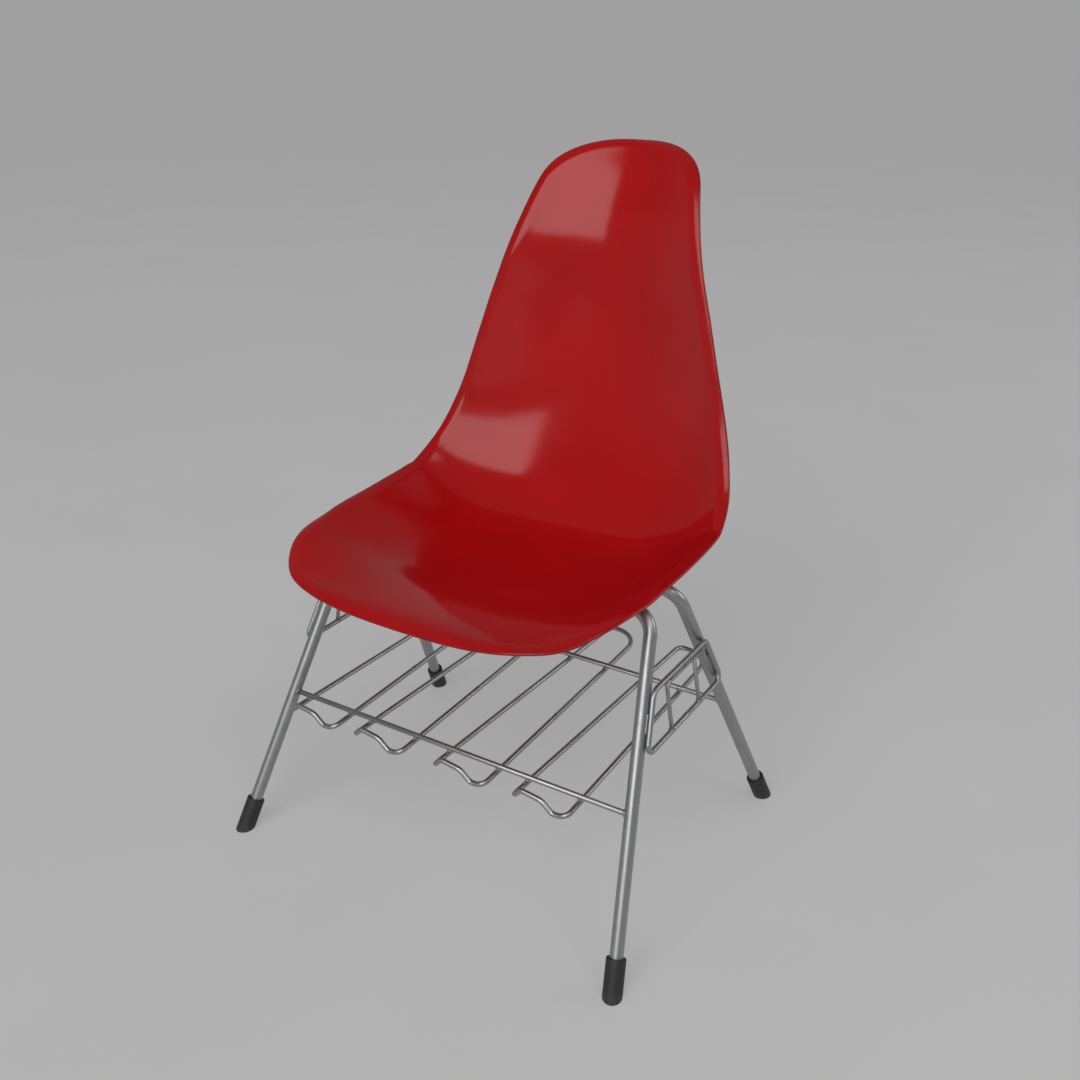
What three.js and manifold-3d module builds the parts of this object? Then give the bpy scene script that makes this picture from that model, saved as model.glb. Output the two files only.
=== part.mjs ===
// Student desk chair: a one-piece moulded bucket seat on a stacking base of two
// inverted-U tube frames, with a wire book rack and a wire ganging loop each side.
// Millimetres, +Z up, -Y towards the front, +X to the right as seen from the front.
// Heights are measured from the floor.
import * as THREE from 'three';
import { mergeVertices } from 'three/addons/utils/BufferGeometryUtils.js';
import Module from 'manifold-3d';

const wasm = await Module();
wasm.setup();

// ---------------------------------------------------------------- dimensions
const GAP = 0.3; // clearance left between touching pieces

// legs: each U frame lies in one plane that leans towards the middle of the chair
const FOOT_X = 275.1; // half track of the leg axes on the floor
const FOOT_Y = 214.25; // half wheelbase of the leg axes on the floor
const LEAN_X = 0.1617; // inward lean per mm of height
const LEAN_Y = 0.4903; // lean towards the middle per mm of height
const TUBE_RADIUS = 7.75;
const TUBE_WALL = 1.5;
const TUBE_SIDES = 14;
const SHOULDER_HEIGHT = 389.7; // where the leg axis meets the sloping part of the U
const SHOULDER_BEND = 30;
const SADDLE_HEIGHT = 332; // axis of the low middle part of each U
const SADDLE_HALF = 101; // half length of that middle part, corner to corner
const SADDLE_BEND = 30;

// rubber boots and the steel discs in them, along the leg axis from the floor
const BOOT_RADIUS = 11.3;
const BOOT_LENGTH = 43;
const BOOT_SOLE = 9; // floor to the bottom of the boot's socket
const BOOT_SIDES = 20;
const DISC_THICKNESS = 2;
const DISC_PLAY = 0.4; // how much smaller than the tube a disc is, in radius

// seat shell
const SHELL_THICKNESS = 4;
const SHELL_LENGTH_ROWS = 32;
const SHELL_HALF_COLUMNS = 11;
const LIP_WIDTH = 15; // the edge rolls outwards over this width
const LIP_POWER = 2.2;
const LIP_DROP_FRONT = 5.5;
const LIP_DROP_SIDES = 8.5;
const LIP_DEEPENING = { start: 60, end: 180 }; // where the drop grows from the front's to the sides'
const SIDE_HALF_WIDTH = 228.4;
const WAIST_START = 411.5; // distance along the shell where the sides begin to close in
const WAIST_BLEND = 39.3;
const BACK_TAPER = 0.306; // loss of half width per mm along the back
const FRONT_ROUNDING = { length: 200.4, power: 3.56, widthPower: 3.62 };
const TOP_ROUNDING = { length: 72.9, power: 2.31 };
const FRONT_CORNER_REACH = 178; // along the outline, from the front's middle to the front corner
const TOP_CORNER_REACH = 98; // along the outline, from the top corner to the top's middle
const USUAL_HALF_WIDTH = 190; // for sharing out the grid lines across and along the shell
const USUAL_LENGTH = 800;
const CURVE_DIVISIONS = 800; // steps in which the curves' lengths are measured

// book rack
const WIRE_RADIUS = 3.25;
const WIRE_SIDES = 8;
const RACK_FRONT_HEIGHT = 175.4;
const RACK_REAR_HEIGHT = 188.3;
const RACK_NOSE_Y = -157; // front tips of the rack loops
const RACK_TAIL_Y = 221.5; // rear ends of the rack loops
const LOOP_FRONT_CENTRES = [-188.6, -85.2, 36.1, 147.4];
const LOOP_REAR_CENTRES = [-172.4, -71.3, 47.6, 156.1];
const LOOP_FRONT_WIDTH = 70.2;
const LOOP_REAR_WIDTH = 54.6;
const LOOP_TAIL_BEND = 38;
const LOOP_REAR_LEFT_BEND = 9;
const LOOP_NOSE_RIGHT_BEND = 8;
// the waved nose of a loop: distance from its left wire, lift out of the rack, bend
const LOOP_NOSE = [
  { across: 0, lift: 0, bend: 5.5 },
  { across: 11, lift: 11, bend: 7 },
  { across: 38, lift: 7.5, bend: 17 },
  { across: 52.5, lift: -5, bend: 9 },
  { across: 62, lift: -4, bend: 5 },
];

// ganging loops, in the plane just outside the legs
const GANG_BOTTOM = 235.2;
const GANG_TOP = 299.5;
const GANG_POST_RADIUS = 2.5;
const GANG_POST_FRONT_Y = -37;
const GANG_POST_REAR_Y = 34.5;
const GANG_STAY_END_Y = 61;
const GANG_FRONT_TOP_BEND = 15;
const GANG_REAR_BOTTOM_BEND = 10;
const GANG_BEND = 9;
const GANG_STAY_BEND = 5;

// seat mounts
const STRAP_X = 78;
const STRAP_WIDTH = 30;
const STRAP_LENGTH = 172;
const STRAP_THICKNESS = 3;
const MOUNT_Y = 70;
const MOUNT_LOWER_RADIUS = 15;
const MOUNT_UPPER_RADIUS = 19;
const INSERT_FLANGE_RADIUS = 10;
const INSERT_BARREL_RADIUS = 4.7;
const INSERT_HEIGHT = 8;
const BOLT_RADIUS = 2.9;
const BOLT_HEAD_RADIUS = 5.7;
const BOLT_HEAD_HEIGHT = 4;
const WASHER_RADIUS = 7;
const WASHER_THICKNESS = 1.2;
const INSERT_FLANGE_THICKNESS = 2;
const MOUNT_FLARE_HEIGHT = 7; // where a mount has widened to its upper radius
const BOLT_END_PLAY = 0.5;
const OVERREACH = 30; // extra length of a blank that is cut off again

// ----------------------------------------------------------------- materials
const redPlastic = new THREE.MeshStandardMaterial({ color: 0x8c0406, roughness: 0.22 });
const satinSteel = new THREE.MeshStandardMaterial({ color: 0x8d8f92, roughness: 0.38, metalness: 0.9 });
const blackRubber = new THREE.MeshStandardMaterial({ color: 0x0b0b0b, roughness: 0.65 });
const zincSteel = new THREE.MeshStandardMaterial({ color: 0xb4b6b5, roughness: 0.42, metalness: 1 });

// ------------------------------------------------------------------- helpers
const vec = (x, y, z) => new THREE.Vector3(x, y, z);

const chair = new THREE.Group();

function addPiece(name, geometry, material) {
  const mesh = new THREE.Mesh(geometry, material);
  mesh.name = name;
  chair.add(mesh);
}

function toSolid(geometry) {
  const bare = geometry.clone();
  bare.deleteAttribute('normal');
  bare.deleteAttribute('uv');
  const merged = mergeVertices(bare, 1e-4);
  const vertProperties = new Float32Array(merged.attributes.position.array);
  const triVerts = new Uint32Array(merged.index.array);
  return new wasm.Manifold(new wasm.Mesh({ numProp: 3, vertProperties, triVerts }));
}

function toGeometry(solid) {
  const { vertProperties, triVerts } = solid.getMesh();
  const geometry = new THREE.BufferGeometry();
  geometry.setAttribute('position', new THREE.BufferAttribute(vertProperties, 3));
  geometry.setIndex(new THREE.BufferAttribute(triVerts, 1));
  return geometry;
}

// A bent rod's axis: straight runs joined by round bends. Each corner is
// { at, bend }, and the first and last corners are the ends of the rod.
class BentAxis extends THREE.Curve {
  constructor(corners, degreesPerStep) {
    super();
    this.stations = [];
    corners.forEach((corner, index) => {
      if (index === 0 || index === corners.length - 1) {
        const inner = corners[index === 0 ? 1 : index - 1];
        const [from, to] = index === 0 ? [corner, inner] : [inner, corner];
        const along = vec().subVectors(to.at, from.at).normalize();
        this.stations.push({ at: corner.at, along });
      } else {
        this.addBend(corners[index - 1].at, corner, corners[index + 1].at, degreesPerStep);
      }
    });
  }

  addBend(before, corner, after, degreesPerStep) {
    const arriving = vec().subVectors(corner.at, before).normalize();
    const leaving = vec().subVectors(after, corner.at).normalize();
    const turn = arriving.angleTo(leaving);
    const setback = corner.bend * Math.tan(turn / 2);
    const start = corner.at.clone().addScaledVector(arriving, -setback);
    const inward = leaving.clone().addScaledVector(arriving, -leaving.dot(arriving)).normalize();
    const steps = Math.max(2, Math.ceil(THREE.MathUtils.radToDeg(turn) / degreesPerStep));
    for (let step = 0; step <= steps; step += 1) {
      const angle = (turn * step) / steps;
      const at = start.clone();
      at.addScaledVector(arriving, corner.bend * Math.sin(angle));
      at.addScaledVector(inward, corner.bend * (1 - Math.cos(angle)));
      const along = arriving.clone().multiplyScalar(Math.cos(angle));
      along.addScaledVector(inward, Math.sin(angle));
      this.stations.push({ at, along });
    }
  }

  station(t) {
    return this.stations[Math.round(t * (this.stations.length - 1))];
  }

  getPoint(t) {
    return this.station(t).at.clone();
  }

  getPointAt(t) {
    return this.getPoint(t);
  }

  getTangent(t) {
    return this.station(t).along.clone();
  }

  getTangentAt(t) {
    return this.getTangent(t);
  }
}

function ring(radius, sides) {
  const points = [];
  for (let side = 0; side < sides; side += 1) {
    const angle = (2 * Math.PI * side) / sides;
    points.push(new THREE.Vector2(radius * Math.cos(angle), radius * Math.sin(angle)));
  }
  return points;
}

function bentRod(corners, { radius, sides, boreRadius = 0, degreesPerStep = 18 }) {
  const section = new THREE.Shape(ring(radius, sides));
  if (boreRadius > 0) section.holes.push(new THREE.Path(ring(boreRadius, sides)));
  const axis = new BentAxis(corners, degreesPerStep);
  return new THREE.ExtrudeGeometry(section, { steps: axis.stations.length - 1, extrudePath: axis });
}

const wire = (corners, radius = WIRE_RADIUS) => bentRod(corners, { radius, sides: WIRE_SIDES });

// A turned piece; profile points are [radius, height].
function turned(profile, sides) {
  const geometry = new THREE.LatheGeometry(profile.map(([r, h]) => new THREE.Vector2(r, h)), sides);
  return geometry.rotateX(Math.PI / 2);
}

// ---------------------------------------------------------------- seat shell
// The shell is laid out on its centreline: "along" is the distance from the
// front edge, and the dish rises from the centreline towards the sides.
const centreline = new THREE.CatmullRomCurve3([
  vec(0, -213, 376),
  vec(0, -203, 379.4),
  vec(0, -186, 380.5),
  vec(0, -119.4, 372.8),
  vec(0, -59.4, 360.4),
  vec(0, 0, 353.7),
  vec(0, 54.7, 354.5),
  vec(0, 104.1, 361.4),
  vec(0, 142.3, 375),
  vec(0, 189, 420.5),
  vec(0, 217.6, 483.1),
  vec(0, 250.3, 634.5),
  vec(0, 271.8, 753.7),
  vec(0, 317.7, 837.7),
]);
centreline.arcLengthDivisions = CURVE_DIVISIONS;
const SHELL_LENGTH = centreline.getLength();

// Height of the side edge above the centreline, by distance along the shell.
const DISH_STATIONS = [0, 30, 70, 120, 190, 280, 370, 450, 520, 600, 700, 780, 865];
const DISH_HEIGHTS = [26.1, 18.8, 33.3, 45.9, 61.2, 65.6, 58.7, 49.1, 44.5, 48.5, 49.2, 35.1, 25.4];

// How late the dish rises: a higher power keeps the middle flatter.
const DISH_POWER_STATIONS = [0, 300, 430, 560, 865];
const DISH_POWERS = [2.08, 3.04, 2.75, 2.07, 1.72];

function smoothThrough(stations, values, where) {
  const last = stations.length - 1;
  const slope = (i) => {
    const a = Math.max(i - 1, 0);
    const b = Math.min(i + 1, last);
    return (values[b] - values[a]) / (stations[b] - stations[a]);
  };
  let i = 0;
  while (i < last - 1 && where >= stations[i + 1]) i += 1;
  const width = stations[i + 1] - stations[i];
  const t = (where - stations[i]) / width;
  const rise = (2 * t ** 3 - 3 * t ** 2 + 1) * values[i] + (3 * t ** 2 - 2 * t ** 3) * values[i + 1];
  return rise + width * ((t ** 3 - 2 * t ** 2 + t) * slope(i) + (t ** 3 - t ** 2) * slope(i + 1));
}

function sideHalfWidth(along) {
  const closing = WAIST_BLEND * Math.log1p(Math.exp((along - WAIST_START) / WAIST_BLEND));
  return SIDE_HALF_WIDTH - BACK_TAPER * closing;
}

function edgeHalfWidth(along) {
  const { length, power, widthPower } = FRONT_ROUNDING;
  const front = THREE.MathUtils.clamp((length - along) / length, 0, 1);
  const top = THREE.MathUtils.clamp((along - SHELL_LENGTH) / TOP_ROUNDING.length + 1, 0, 1);
  const frontFactor = (1 - front ** power) ** (1 / widthPower);
  return sideHalfWidth(along) * frontFactor * (1 - top ** TOP_ROUNDING.power) ** (1 / TOP_ROUNDING.power);
}

// One half of the shell's outline, flattened: x is the half width, y is along.
class HalfOutline extends THREE.Curve {
  getPoint(t) {
    const along = (SHELL_LENGTH * (1 - Math.cos(Math.PI * t))) / 2;
    return vec(edgeHalfWidth(along), along, 0);
  }
}
const outline = new HalfOutline();
outline.arcLengthDivisions = CURVE_DIVISIONS;
const OUTLINE_LENGTH = outline.getLength();
const FRONT_CORNER = FRONT_CORNER_REACH / OUTLINE_LENGTH; // as a fraction of the half outline
const TOP_CORNER = 1 - TOP_CORNER_REACH / OUTLINE_LENGTH;

function smoothSurface(x, along) {
  const reach = THREE.MathUtils.clamp(along / SHELL_LENGTH, 0, 1);
  const foot = centreline.getPointAt(reach);
  const tangent = centreline.getTangentAt(reach);
  const towardsSitter = vec(0, -tangent.z, tangent.y);
  const dish = smoothThrough(DISH_STATIONS, DISH_HEIGHTS, along);
  const power = smoothThrough(DISH_POWER_STATIONS, DISH_POWERS, along);
  const rise = dish * (Math.abs(x) / sideHalfWidth(along)) ** power;
  return foot.addScaledVector(towardsSitter, rise).setX(x);
}

function surfaceNormal(x, along) {
  const step = 1.5;
  const low = Math.max(along - step, 0);
  const high = Math.min(along + step, SHELL_LENGTH);
  const across = vec().subVectors(smoothSurface(x + step, along), smoothSurface(x - step, along));
  const lengthways = vec().subVectors(smoothSurface(x, high), smoothSurface(x, low));
  return across.cross(lengthways).normalize();
}

// Place on the flattened shell for u from 0 (centre) to 1 (side) and v from 0
// (front) to 1 (top), so that grid lines follow the outline and its corners.
function flatPlace(u, v) {
  const side = outline.getPointAt(FRONT_CORNER + (TOP_CORNER - FRONT_CORNER) * v);
  const front = outline.getPointAt(FRONT_CORNER * u);
  const top = outline.getPointAt(1 - (1 - TOP_CORNER) * u);
  const frontCorner = outline.getPointAt(FRONT_CORNER);
  const topCorner = outline.getPointAt(TOP_CORNER);
  const centreAlong = (SHELL_LENGTH * (side.y - frontCorner.y)) / (topCorner.y - frontCorner.y);
  const bow = u ** 2;
  const x = u * side.x + (1 - v) * (front.x - u * frontCorner.x) + v * (top.x - u * topCorner.x);
  const frontBow = front.y - bow * frontCorner.y;
  const topBow = top.y - (1 - bow) * SHELL_LENGTH - bow * topCorner.y;
  const along = (1 - bow) * centreAlong + bow * side.y + (1 - v) * frontBow + v * topBow;
  return { x, along, sideReach: side.x };
}

function shellPoint(u, v, lift) {
  const { x, along, sideReach } = flatPlace(Math.abs(u), v);
  const signedX = u < 0 ? -x : x;
  const nearSide = Math.max(0, 1 - ((1 - Math.abs(u)) * sideReach) / LIP_WIDTH) ** LIP_POWER;
  const endDistance = Math.min(v, 1 - v) * (TOP_CORNER - FRONT_CORNER) * OUTLINE_LENGTH;
  const nearEnd = Math.max(0, 1 - endDistance / LIP_WIDTH) ** LIP_POWER;
  const deepening = THREE.MathUtils.smoothstep(along, LIP_DEEPENING.start, LIP_DEEPENING.end);
  const fullDrop = THREE.MathUtils.lerp(LIP_DROP_FRONT, LIP_DROP_SIDES, deepening);
  const drop = fullDrop * (1 - (1 - nearSide) * (1 - nearEnd));
  return smoothSurface(signedX, along).addScaledVector(surfaceNormal(signedX, along), lift - drop);
}

// Grid positions from 0 to 1 with two extra lines in the lip at each end asked for.
function gridLines(count, lipShare, bothEnds) {
  const lines = [];
  const low = bothEnds ? lipShare : 0;
  if (bothEnds) lines.push(0, lipShare / 2);
  for (let i = 0; i <= count; i += 1) lines.push(low + ((1 - lipShare - low) * i) / count);
  lines.push(1 - lipShare / 2, 1);
  return lines;
}

function shellSolid(upperLift, lowerLift) {
  const half = gridLines(SHELL_HALF_COLUMNS, LIP_WIDTH / USUAL_HALF_WIDTH, false);
  const columns = [...half.slice(1).reverse().map((u) => -u), ...half];
  const rows = gridLines(SHELL_LENGTH_ROWS, LIP_WIDTH / USUAL_LENGTH, true);
  const positions = [];
  const faces = [];
  const across = columns.length;
  for (const lift of [upperLift, lowerLift]) {
    for (const v of rows) {
      for (const u of columns) positions.push(...shellPoint(u, v, lift).toArray());
    }
  }
  const lowerStart = rows.length * across;
  const quad = (a, b, c, d) => faces.push(a, b, c, a, c, d);
  for (let row = 0; row < rows.length - 1; row += 1) {
    for (let column = 0; column < across - 1; column += 1) {
      const a = row * across + column;
      quad(a, a + 1, a + across + 1, a + across);
      quad(lowerStart + a, lowerStart + a + across, lowerStart + a + across + 1, lowerStart + a + 1);
    }
    const left = row * across;
    const right = left + across - 1;
    quad(left, left + across, lowerStart + left + across, lowerStart + left);
    quad(right, lowerStart + right, lowerStart + right + across, right + across);
  }
  const topRow = (rows.length - 1) * across;
  for (let column = 0; column < across - 1; column += 1) {
    quad(column, lowerStart + column, lowerStart + column + 1, column + 1);
    const a = topRow + column;
    quad(a, a + 1, lowerStart + a + 1, lowerStart + a);
  }
  const geometry = new THREE.BufferGeometry();
  geometry.setAttribute('position', new THREE.Float32BufferAttribute(positions, 3));
  geometry.setIndex(faces);
  return geometry;
}

addPiece('seat_shell', shellSolid(0, -SHELL_THICKNESS), redPlastic);

// ----------------------------------------------------------------- leg frames
// side is -1 or +1 for left or right, end is -1 for front and +1 for rear.
const legAxis = (side, end, height) =>
  vec(side * (FOOT_X - LEAN_X * height), end * (FOOT_Y - LEAN_Y * height), height);

const legDirection = (side, end) =>
  vec().subVectors(legAxis(side, end, 1), legAxis(side, end, 0)).normalize();

const LEG_START = BOOT_SOLE + GAP + DISC_THICKNESS + GAP;

function legFrame(end) {
  const half = (side) => [
    { at: legAxis(side, end, 0).addScaledVector(legDirection(side, end), LEG_START) },
    { at: legAxis(side, end, SHOULDER_HEIGHT), bend: SHOULDER_BEND },
    { at: legAxis(side, end, SADDLE_HEIGHT).setX(side * SADDLE_HALF), bend: SADDLE_BEND },
  ];
  const corners = [...half(-1), ...half(1).reverse()];
  const boreRadius = TUBE_RADIUS - TUBE_WALL;
  return bentRod(corners, { radius: TUBE_RADIUS, sides: TUBE_SIDES, boreRadius, degreesPerStep: 14 });
}

addPiece('front_leg_frame', legFrame(-1), satinSteel);
addPiece('rear_leg_frame', legFrame(1), satinSteel);

// ------------------------------------------------------- boots and their discs
const ground = new THREE.BoxGeometry(4 * FOOT_X, 4 * FOOT_Y, BOOT_LENGTH);
const belowFloor = toSolid(ground.translate(0, 0, -BOOT_LENGTH / 2));

// Stands a turned piece on a leg axis, its height counted from the floor point.
function onLeg(geometry, side, end) {
  const tilt = new THREE.Quaternion().setFromUnitVectors(vec(0, 0, 1), legDirection(side, end));
  geometry.applyQuaternion(tilt);
  return geometry.translate(...legAxis(side, end, 0).toArray());
}

function footBoot(side, end) {
  const socket = TUBE_RADIUS + GAP;
  const profile = [
    [0, -4],
    [BOOT_RADIUS - 3, -4],
    [BOOT_RADIUS - 0.9, -3],
    [BOOT_RADIUS, -0.5],
    [BOOT_RADIUS, BOOT_LENGTH - 1],
    [BOOT_RADIUS - 1, BOOT_LENGTH],
    [socket, BOOT_LENGTH],
    [socket, BOOT_SOLE],
    [0, BOOT_SOLE],
  ];
  const boot = toSolid(onLeg(turned(profile, BOOT_SIDES), side, end));
  return toGeometry(boot.subtract(belowFloor));
}

function footDisc(side, end) {
  const low = BOOT_SOLE + GAP;
  const profile = [
    [0, low],
    [TUBE_RADIUS - DISC_PLAY, low],
    [TUBE_RADIUS - DISC_PLAY, low + DISC_THICKNESS],
    [0, low + DISC_THICKNESS],
  ];
  return onLeg(turned(profile, BOOT_SIDES), side, end);
}

for (const [end, endName] of [[-1, 'front'], [1, 'rear']]) {
  for (const [side, sideName] of [[-1, 'left'], [1, 'right']]) {
    addPiece(`foot_boot_${endName}_${sideName}`, footBoot(side, end), blackRubber);
    addPiece(`foot_disc_${endName}_${sideName}`, footDisc(side, end), zincSteel);
  }
}

// ------------------------------------------------------------------ book rack
function rackBar(end, height) {
  const axis = legAxis(1, end, height);
  const reach = axis.x - TUBE_RADIUS * Math.hypot(1, LEAN_X) - LEAN_X * WIRE_RADIUS - GAP;
  return wire([{ at: axis.clone().setX(-reach) }, { at: axis.clone().setX(reach) }]);
}

addPiece('rack_front_bar', rackBar(-1, RACK_FRONT_HEIGHT), satinSteel);
addPiece('rack_rear_bar', rackBar(1, RACK_REAR_HEIGHT), satinSteel);

const FRONT_BAR_Y = legAxis(1, -1, RACK_FRONT_HEIGHT).y;
const REAR_BAR_Y = legAxis(1, 1, RACK_REAR_HEIGHT).y;
const WIRE_DROP = 2 * WIRE_RADIUS + GAP; // loops hang just below the two bars

// A point of the rack's sloping plane, lifted by "lift".
function onRack(x, y, lift = 0) {
  const share = (y - FRONT_BAR_Y) / (REAR_BAR_Y - FRONT_BAR_Y);
  const barHeight = THREE.MathUtils.lerp(RACK_FRONT_HEIGHT, RACK_REAR_HEIGHT, share);
  return vec(x, y, barHeight - WIRE_DROP + lift);
}

// One closed loop, butt welded halfway along its right-hand wire: rounded at
// the rear, and waved at the front to stop books sliding out.
function rackLoop(index) {
  const edgeX = (side, y) => {
    const share = (y - FRONT_BAR_Y) / (REAR_BAR_Y - FRONT_BAR_Y);
    const front = LOOP_FRONT_CENTRES[index] + (side * LOOP_FRONT_WIDTH) / 2;
    const rear = LOOP_REAR_CENTRES[index] + (side * LOOP_REAR_WIDTH) / 2;
    return THREE.MathUtils.lerp(front, rear, share);
  };
  const noseLeft = edgeX(-1, RACK_NOSE_Y);
  const nose = LOOP_NOSE.map(({ across, lift, bend }) => ({
    at: onRack(noseLeft + across, RACK_NOSE_Y, lift),
    bend,
  }));
  const halfCut = GAP / 2;
  return wire([
    { at: onRack(edgeX(1, halfCut), halfCut) },
    { at: onRack(edgeX(1, RACK_TAIL_Y), RACK_TAIL_Y), bend: LOOP_TAIL_BEND },
    { at: onRack(edgeX(-1, RACK_TAIL_Y), RACK_TAIL_Y), bend: LOOP_REAR_LEFT_BEND },
    ...nose,
    { at: onRack(edgeX(1, RACK_NOSE_Y), RACK_NOSE_Y), bend: LOOP_NOSE_RIGHT_BEND },
    { at: onRack(edgeX(1, -halfCut), -halfCut) },
  ]);
}

LOOP_FRONT_CENTRES.forEach((_, index) => addPiece(`rack_loop_${index + 1}`, rackLoop(index), satinSteel));

// --------------------------------------------------------------- ganging loops
// Points of the plane that holds a side's wires, just outboard of both legs.
const GANG_OFFSET = (TUBE_RADIUS + WIRE_RADIUS + GAP) * Math.hypot(1, LEAN_X);
const onGangPlane = (side, y, z) => vec(side * (FOOT_X - LEAN_X * z + GANG_OFFSET), y, z);
const onLegLine = (side, end, z) => onGangPlane(side, end * (FOOT_Y - LEAN_Y * z), z);

function gangingLoop(side) {
  return wire([
    { at: onGangPlane(side, GAP / 2, GANG_BOTTOM) },
    { at: onLegLine(side, 1, GANG_BOTTOM), bend: GANG_REAR_BOTTOM_BEND },
    { at: onLegLine(side, 1, GANG_TOP), bend: GANG_BEND },
    { at: onLegLine(side, -1, GANG_TOP), bend: GANG_FRONT_TOP_BEND },
    { at: onLegLine(side, -1, GANG_BOTTOM), bend: GANG_BEND },
    { at: onGangPlane(side, -GAP / 2, GANG_BOTTOM) },
  ]);
}

const POST_FOOT = GANG_BOTTOM + WIRE_RADIUS + GAP;
const STAY_HEIGHT = GANG_TOP - WIRE_RADIUS - GANG_POST_RADIUS - GAP;

// The stay is a post at the front that turns back under the top of the loop.
function gangingStay(side) {
  const corners = [
    { at: onGangPlane(side, GANG_POST_FRONT_Y, POST_FOOT) },
    { at: onGangPlane(side, GANG_POST_FRONT_Y, STAY_HEIGHT), bend: GANG_STAY_BEND },
    { at: onGangPlane(side, GANG_STAY_END_Y, STAY_HEIGHT) },
  ];
  return wire(corners, GANG_POST_RADIUS);
}

function gangingPost(side) {
  const corners = [
    { at: onGangPlane(side, GANG_POST_REAR_Y, POST_FOOT) },
    { at: onGangPlane(side, GANG_POST_REAR_Y, STAY_HEIGHT - GANG_POST_RADIUS - GAP) },
  ];
  return wire(corners, GANG_POST_RADIUS);
}

for (const [side, sideName] of [[-1, 'left'], [1, 'right']]) {
  addPiece(`ganging_loop_${sideName}`, gangingLoop(side), satinSteel);
  addPiece(`ganging_stay_${sideName}`, gangingStay(side), satinSteel);
  addPiece(`ganging_post_${sideName}`, gangingPost(side), satinSteel);
}

// ----------------------------------------------------- straps and seat mounts
const STRAP_LOW = SADDLE_HEIGHT + TUBE_RADIUS + GAP;
const STRAP_HIGH = STRAP_LOW + STRAP_THICKNESS;

function mountStrap(side) {
  const halfWidth = STRAP_WIDTH / 2;
  const straight = STRAP_LENGTH / 2 - halfWidth;
  const plan = new THREE.Shape();
  plan.absarc(0, straight, halfWidth, 0, Math.PI, false);
  plan.absarc(0, -straight, halfWidth, Math.PI, 2 * Math.PI, false);
  for (const y of [-MOUNT_Y, MOUNT_Y]) {
    const hole = ring(BOLT_RADIUS + GAP, 16).map((point) => point.add(new THREE.Vector2(0, y)));
    plan.holes.push(new THREE.Path(hole));
  }
  const extrusion = { depth: STRAP_THICKNESS, bevelEnabled: false, curveSegments: 10 };
  const strap = new THREE.ExtrudeGeometry(plan, extrusion);
  return strap.translate(side * STRAP_X, 0, STRAP_LOW);
}

const underShell = toSolid(shellSolid(2 * OVERREACH, -SHELL_THICKNESS - GAP));
const MOUNT_LOW = STRAP_HIGH + GAP;

// A rubber mount bonded under the shell, with a socket for its threaded insert.
function shockMount(x, y) {
  const reach = MOUNT_LOW + OVERREACH;
  const flange = MOUNT_LOW + INSERT_FLANGE_THICKNESS + GAP;
  const socketTop = MOUNT_LOW + INSERT_HEIGHT + GAP;
  const profile = [
    [INSERT_FLANGE_RADIUS + GAP, MOUNT_LOW],
    [MOUNT_LOWER_RADIUS, MOUNT_LOW],
    [MOUNT_UPPER_RADIUS, MOUNT_LOW + MOUNT_FLARE_HEIGHT],
    [MOUNT_UPPER_RADIUS, reach],
    [0, reach],
    [0, socketTop],
    [INSERT_BARREL_RADIUS + GAP, socketTop],
    [INSERT_BARREL_RADIUS + GAP, flange],
    [INSERT_FLANGE_RADIUS + GAP, flange],
    [INSERT_FLANGE_RADIUS + GAP, MOUNT_LOW],
  ];
  const blank = toSolid(turned(profile, 24).translate(x, y, 0));
  return toGeometry(blank.subtract(underShell));
}

function threadedInsert(x, y) {
  const bore = BOLT_RADIUS + GAP;
  const profile = [
    [bore, MOUNT_LOW],
    [INSERT_FLANGE_RADIUS, MOUNT_LOW],
    [INSERT_FLANGE_RADIUS, MOUNT_LOW + INSERT_FLANGE_THICKNESS],
    [INSERT_BARREL_RADIUS, MOUNT_LOW + INSERT_FLANGE_THICKNESS],
    [INSERT_BARREL_RADIUS, MOUNT_LOW + INSERT_HEIGHT],
    [bore, MOUNT_LOW + INSERT_HEIGHT],
    [bore, MOUNT_LOW],
  ];
  return turned(profile, 16).translate(x, y, 0);
}

const WASHER_HIGH = STRAP_LOW - GAP;
const HEAD_HIGH = WASHER_HIGH - WASHER_THICKNESS - GAP;

function washer(x, y) {
  const bore = BOLT_RADIUS + GAP;
  const low = WASHER_HIGH - WASHER_THICKNESS;
  const profile = [
    [bore, low],
    [WASHER_RADIUS, low],
    [WASHER_RADIUS, WASHER_HIGH],
    [bore, WASHER_HIGH],
    [bore, low],
  ];
  return turned(profile, 18).translate(x, y, 0);
}

function mountBolt(x, y) {
  const head = new THREE.CylinderGeometry(BOLT_HEAD_RADIUS, BOLT_HEAD_RADIUS, BOLT_HEAD_HEIGHT, 6);
  head.rotateX(Math.PI / 2).translate(x, y, HEAD_HIGH - BOLT_HEAD_HEIGHT / 2);
  const low = HEAD_HIGH - BOLT_HEAD_HEIGHT / 2;
  const high = MOUNT_LOW + INSERT_HEIGHT - BOLT_END_PLAY;
  const shank = new THREE.CylinderGeometry(BOLT_RADIUS, BOLT_RADIUS, high - low, 12);
  shank.rotateX(Math.PI / 2).translate(x, y, (high + low) / 2);
  return toGeometry(toSolid(head).add(toSolid(shank)));
}

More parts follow.
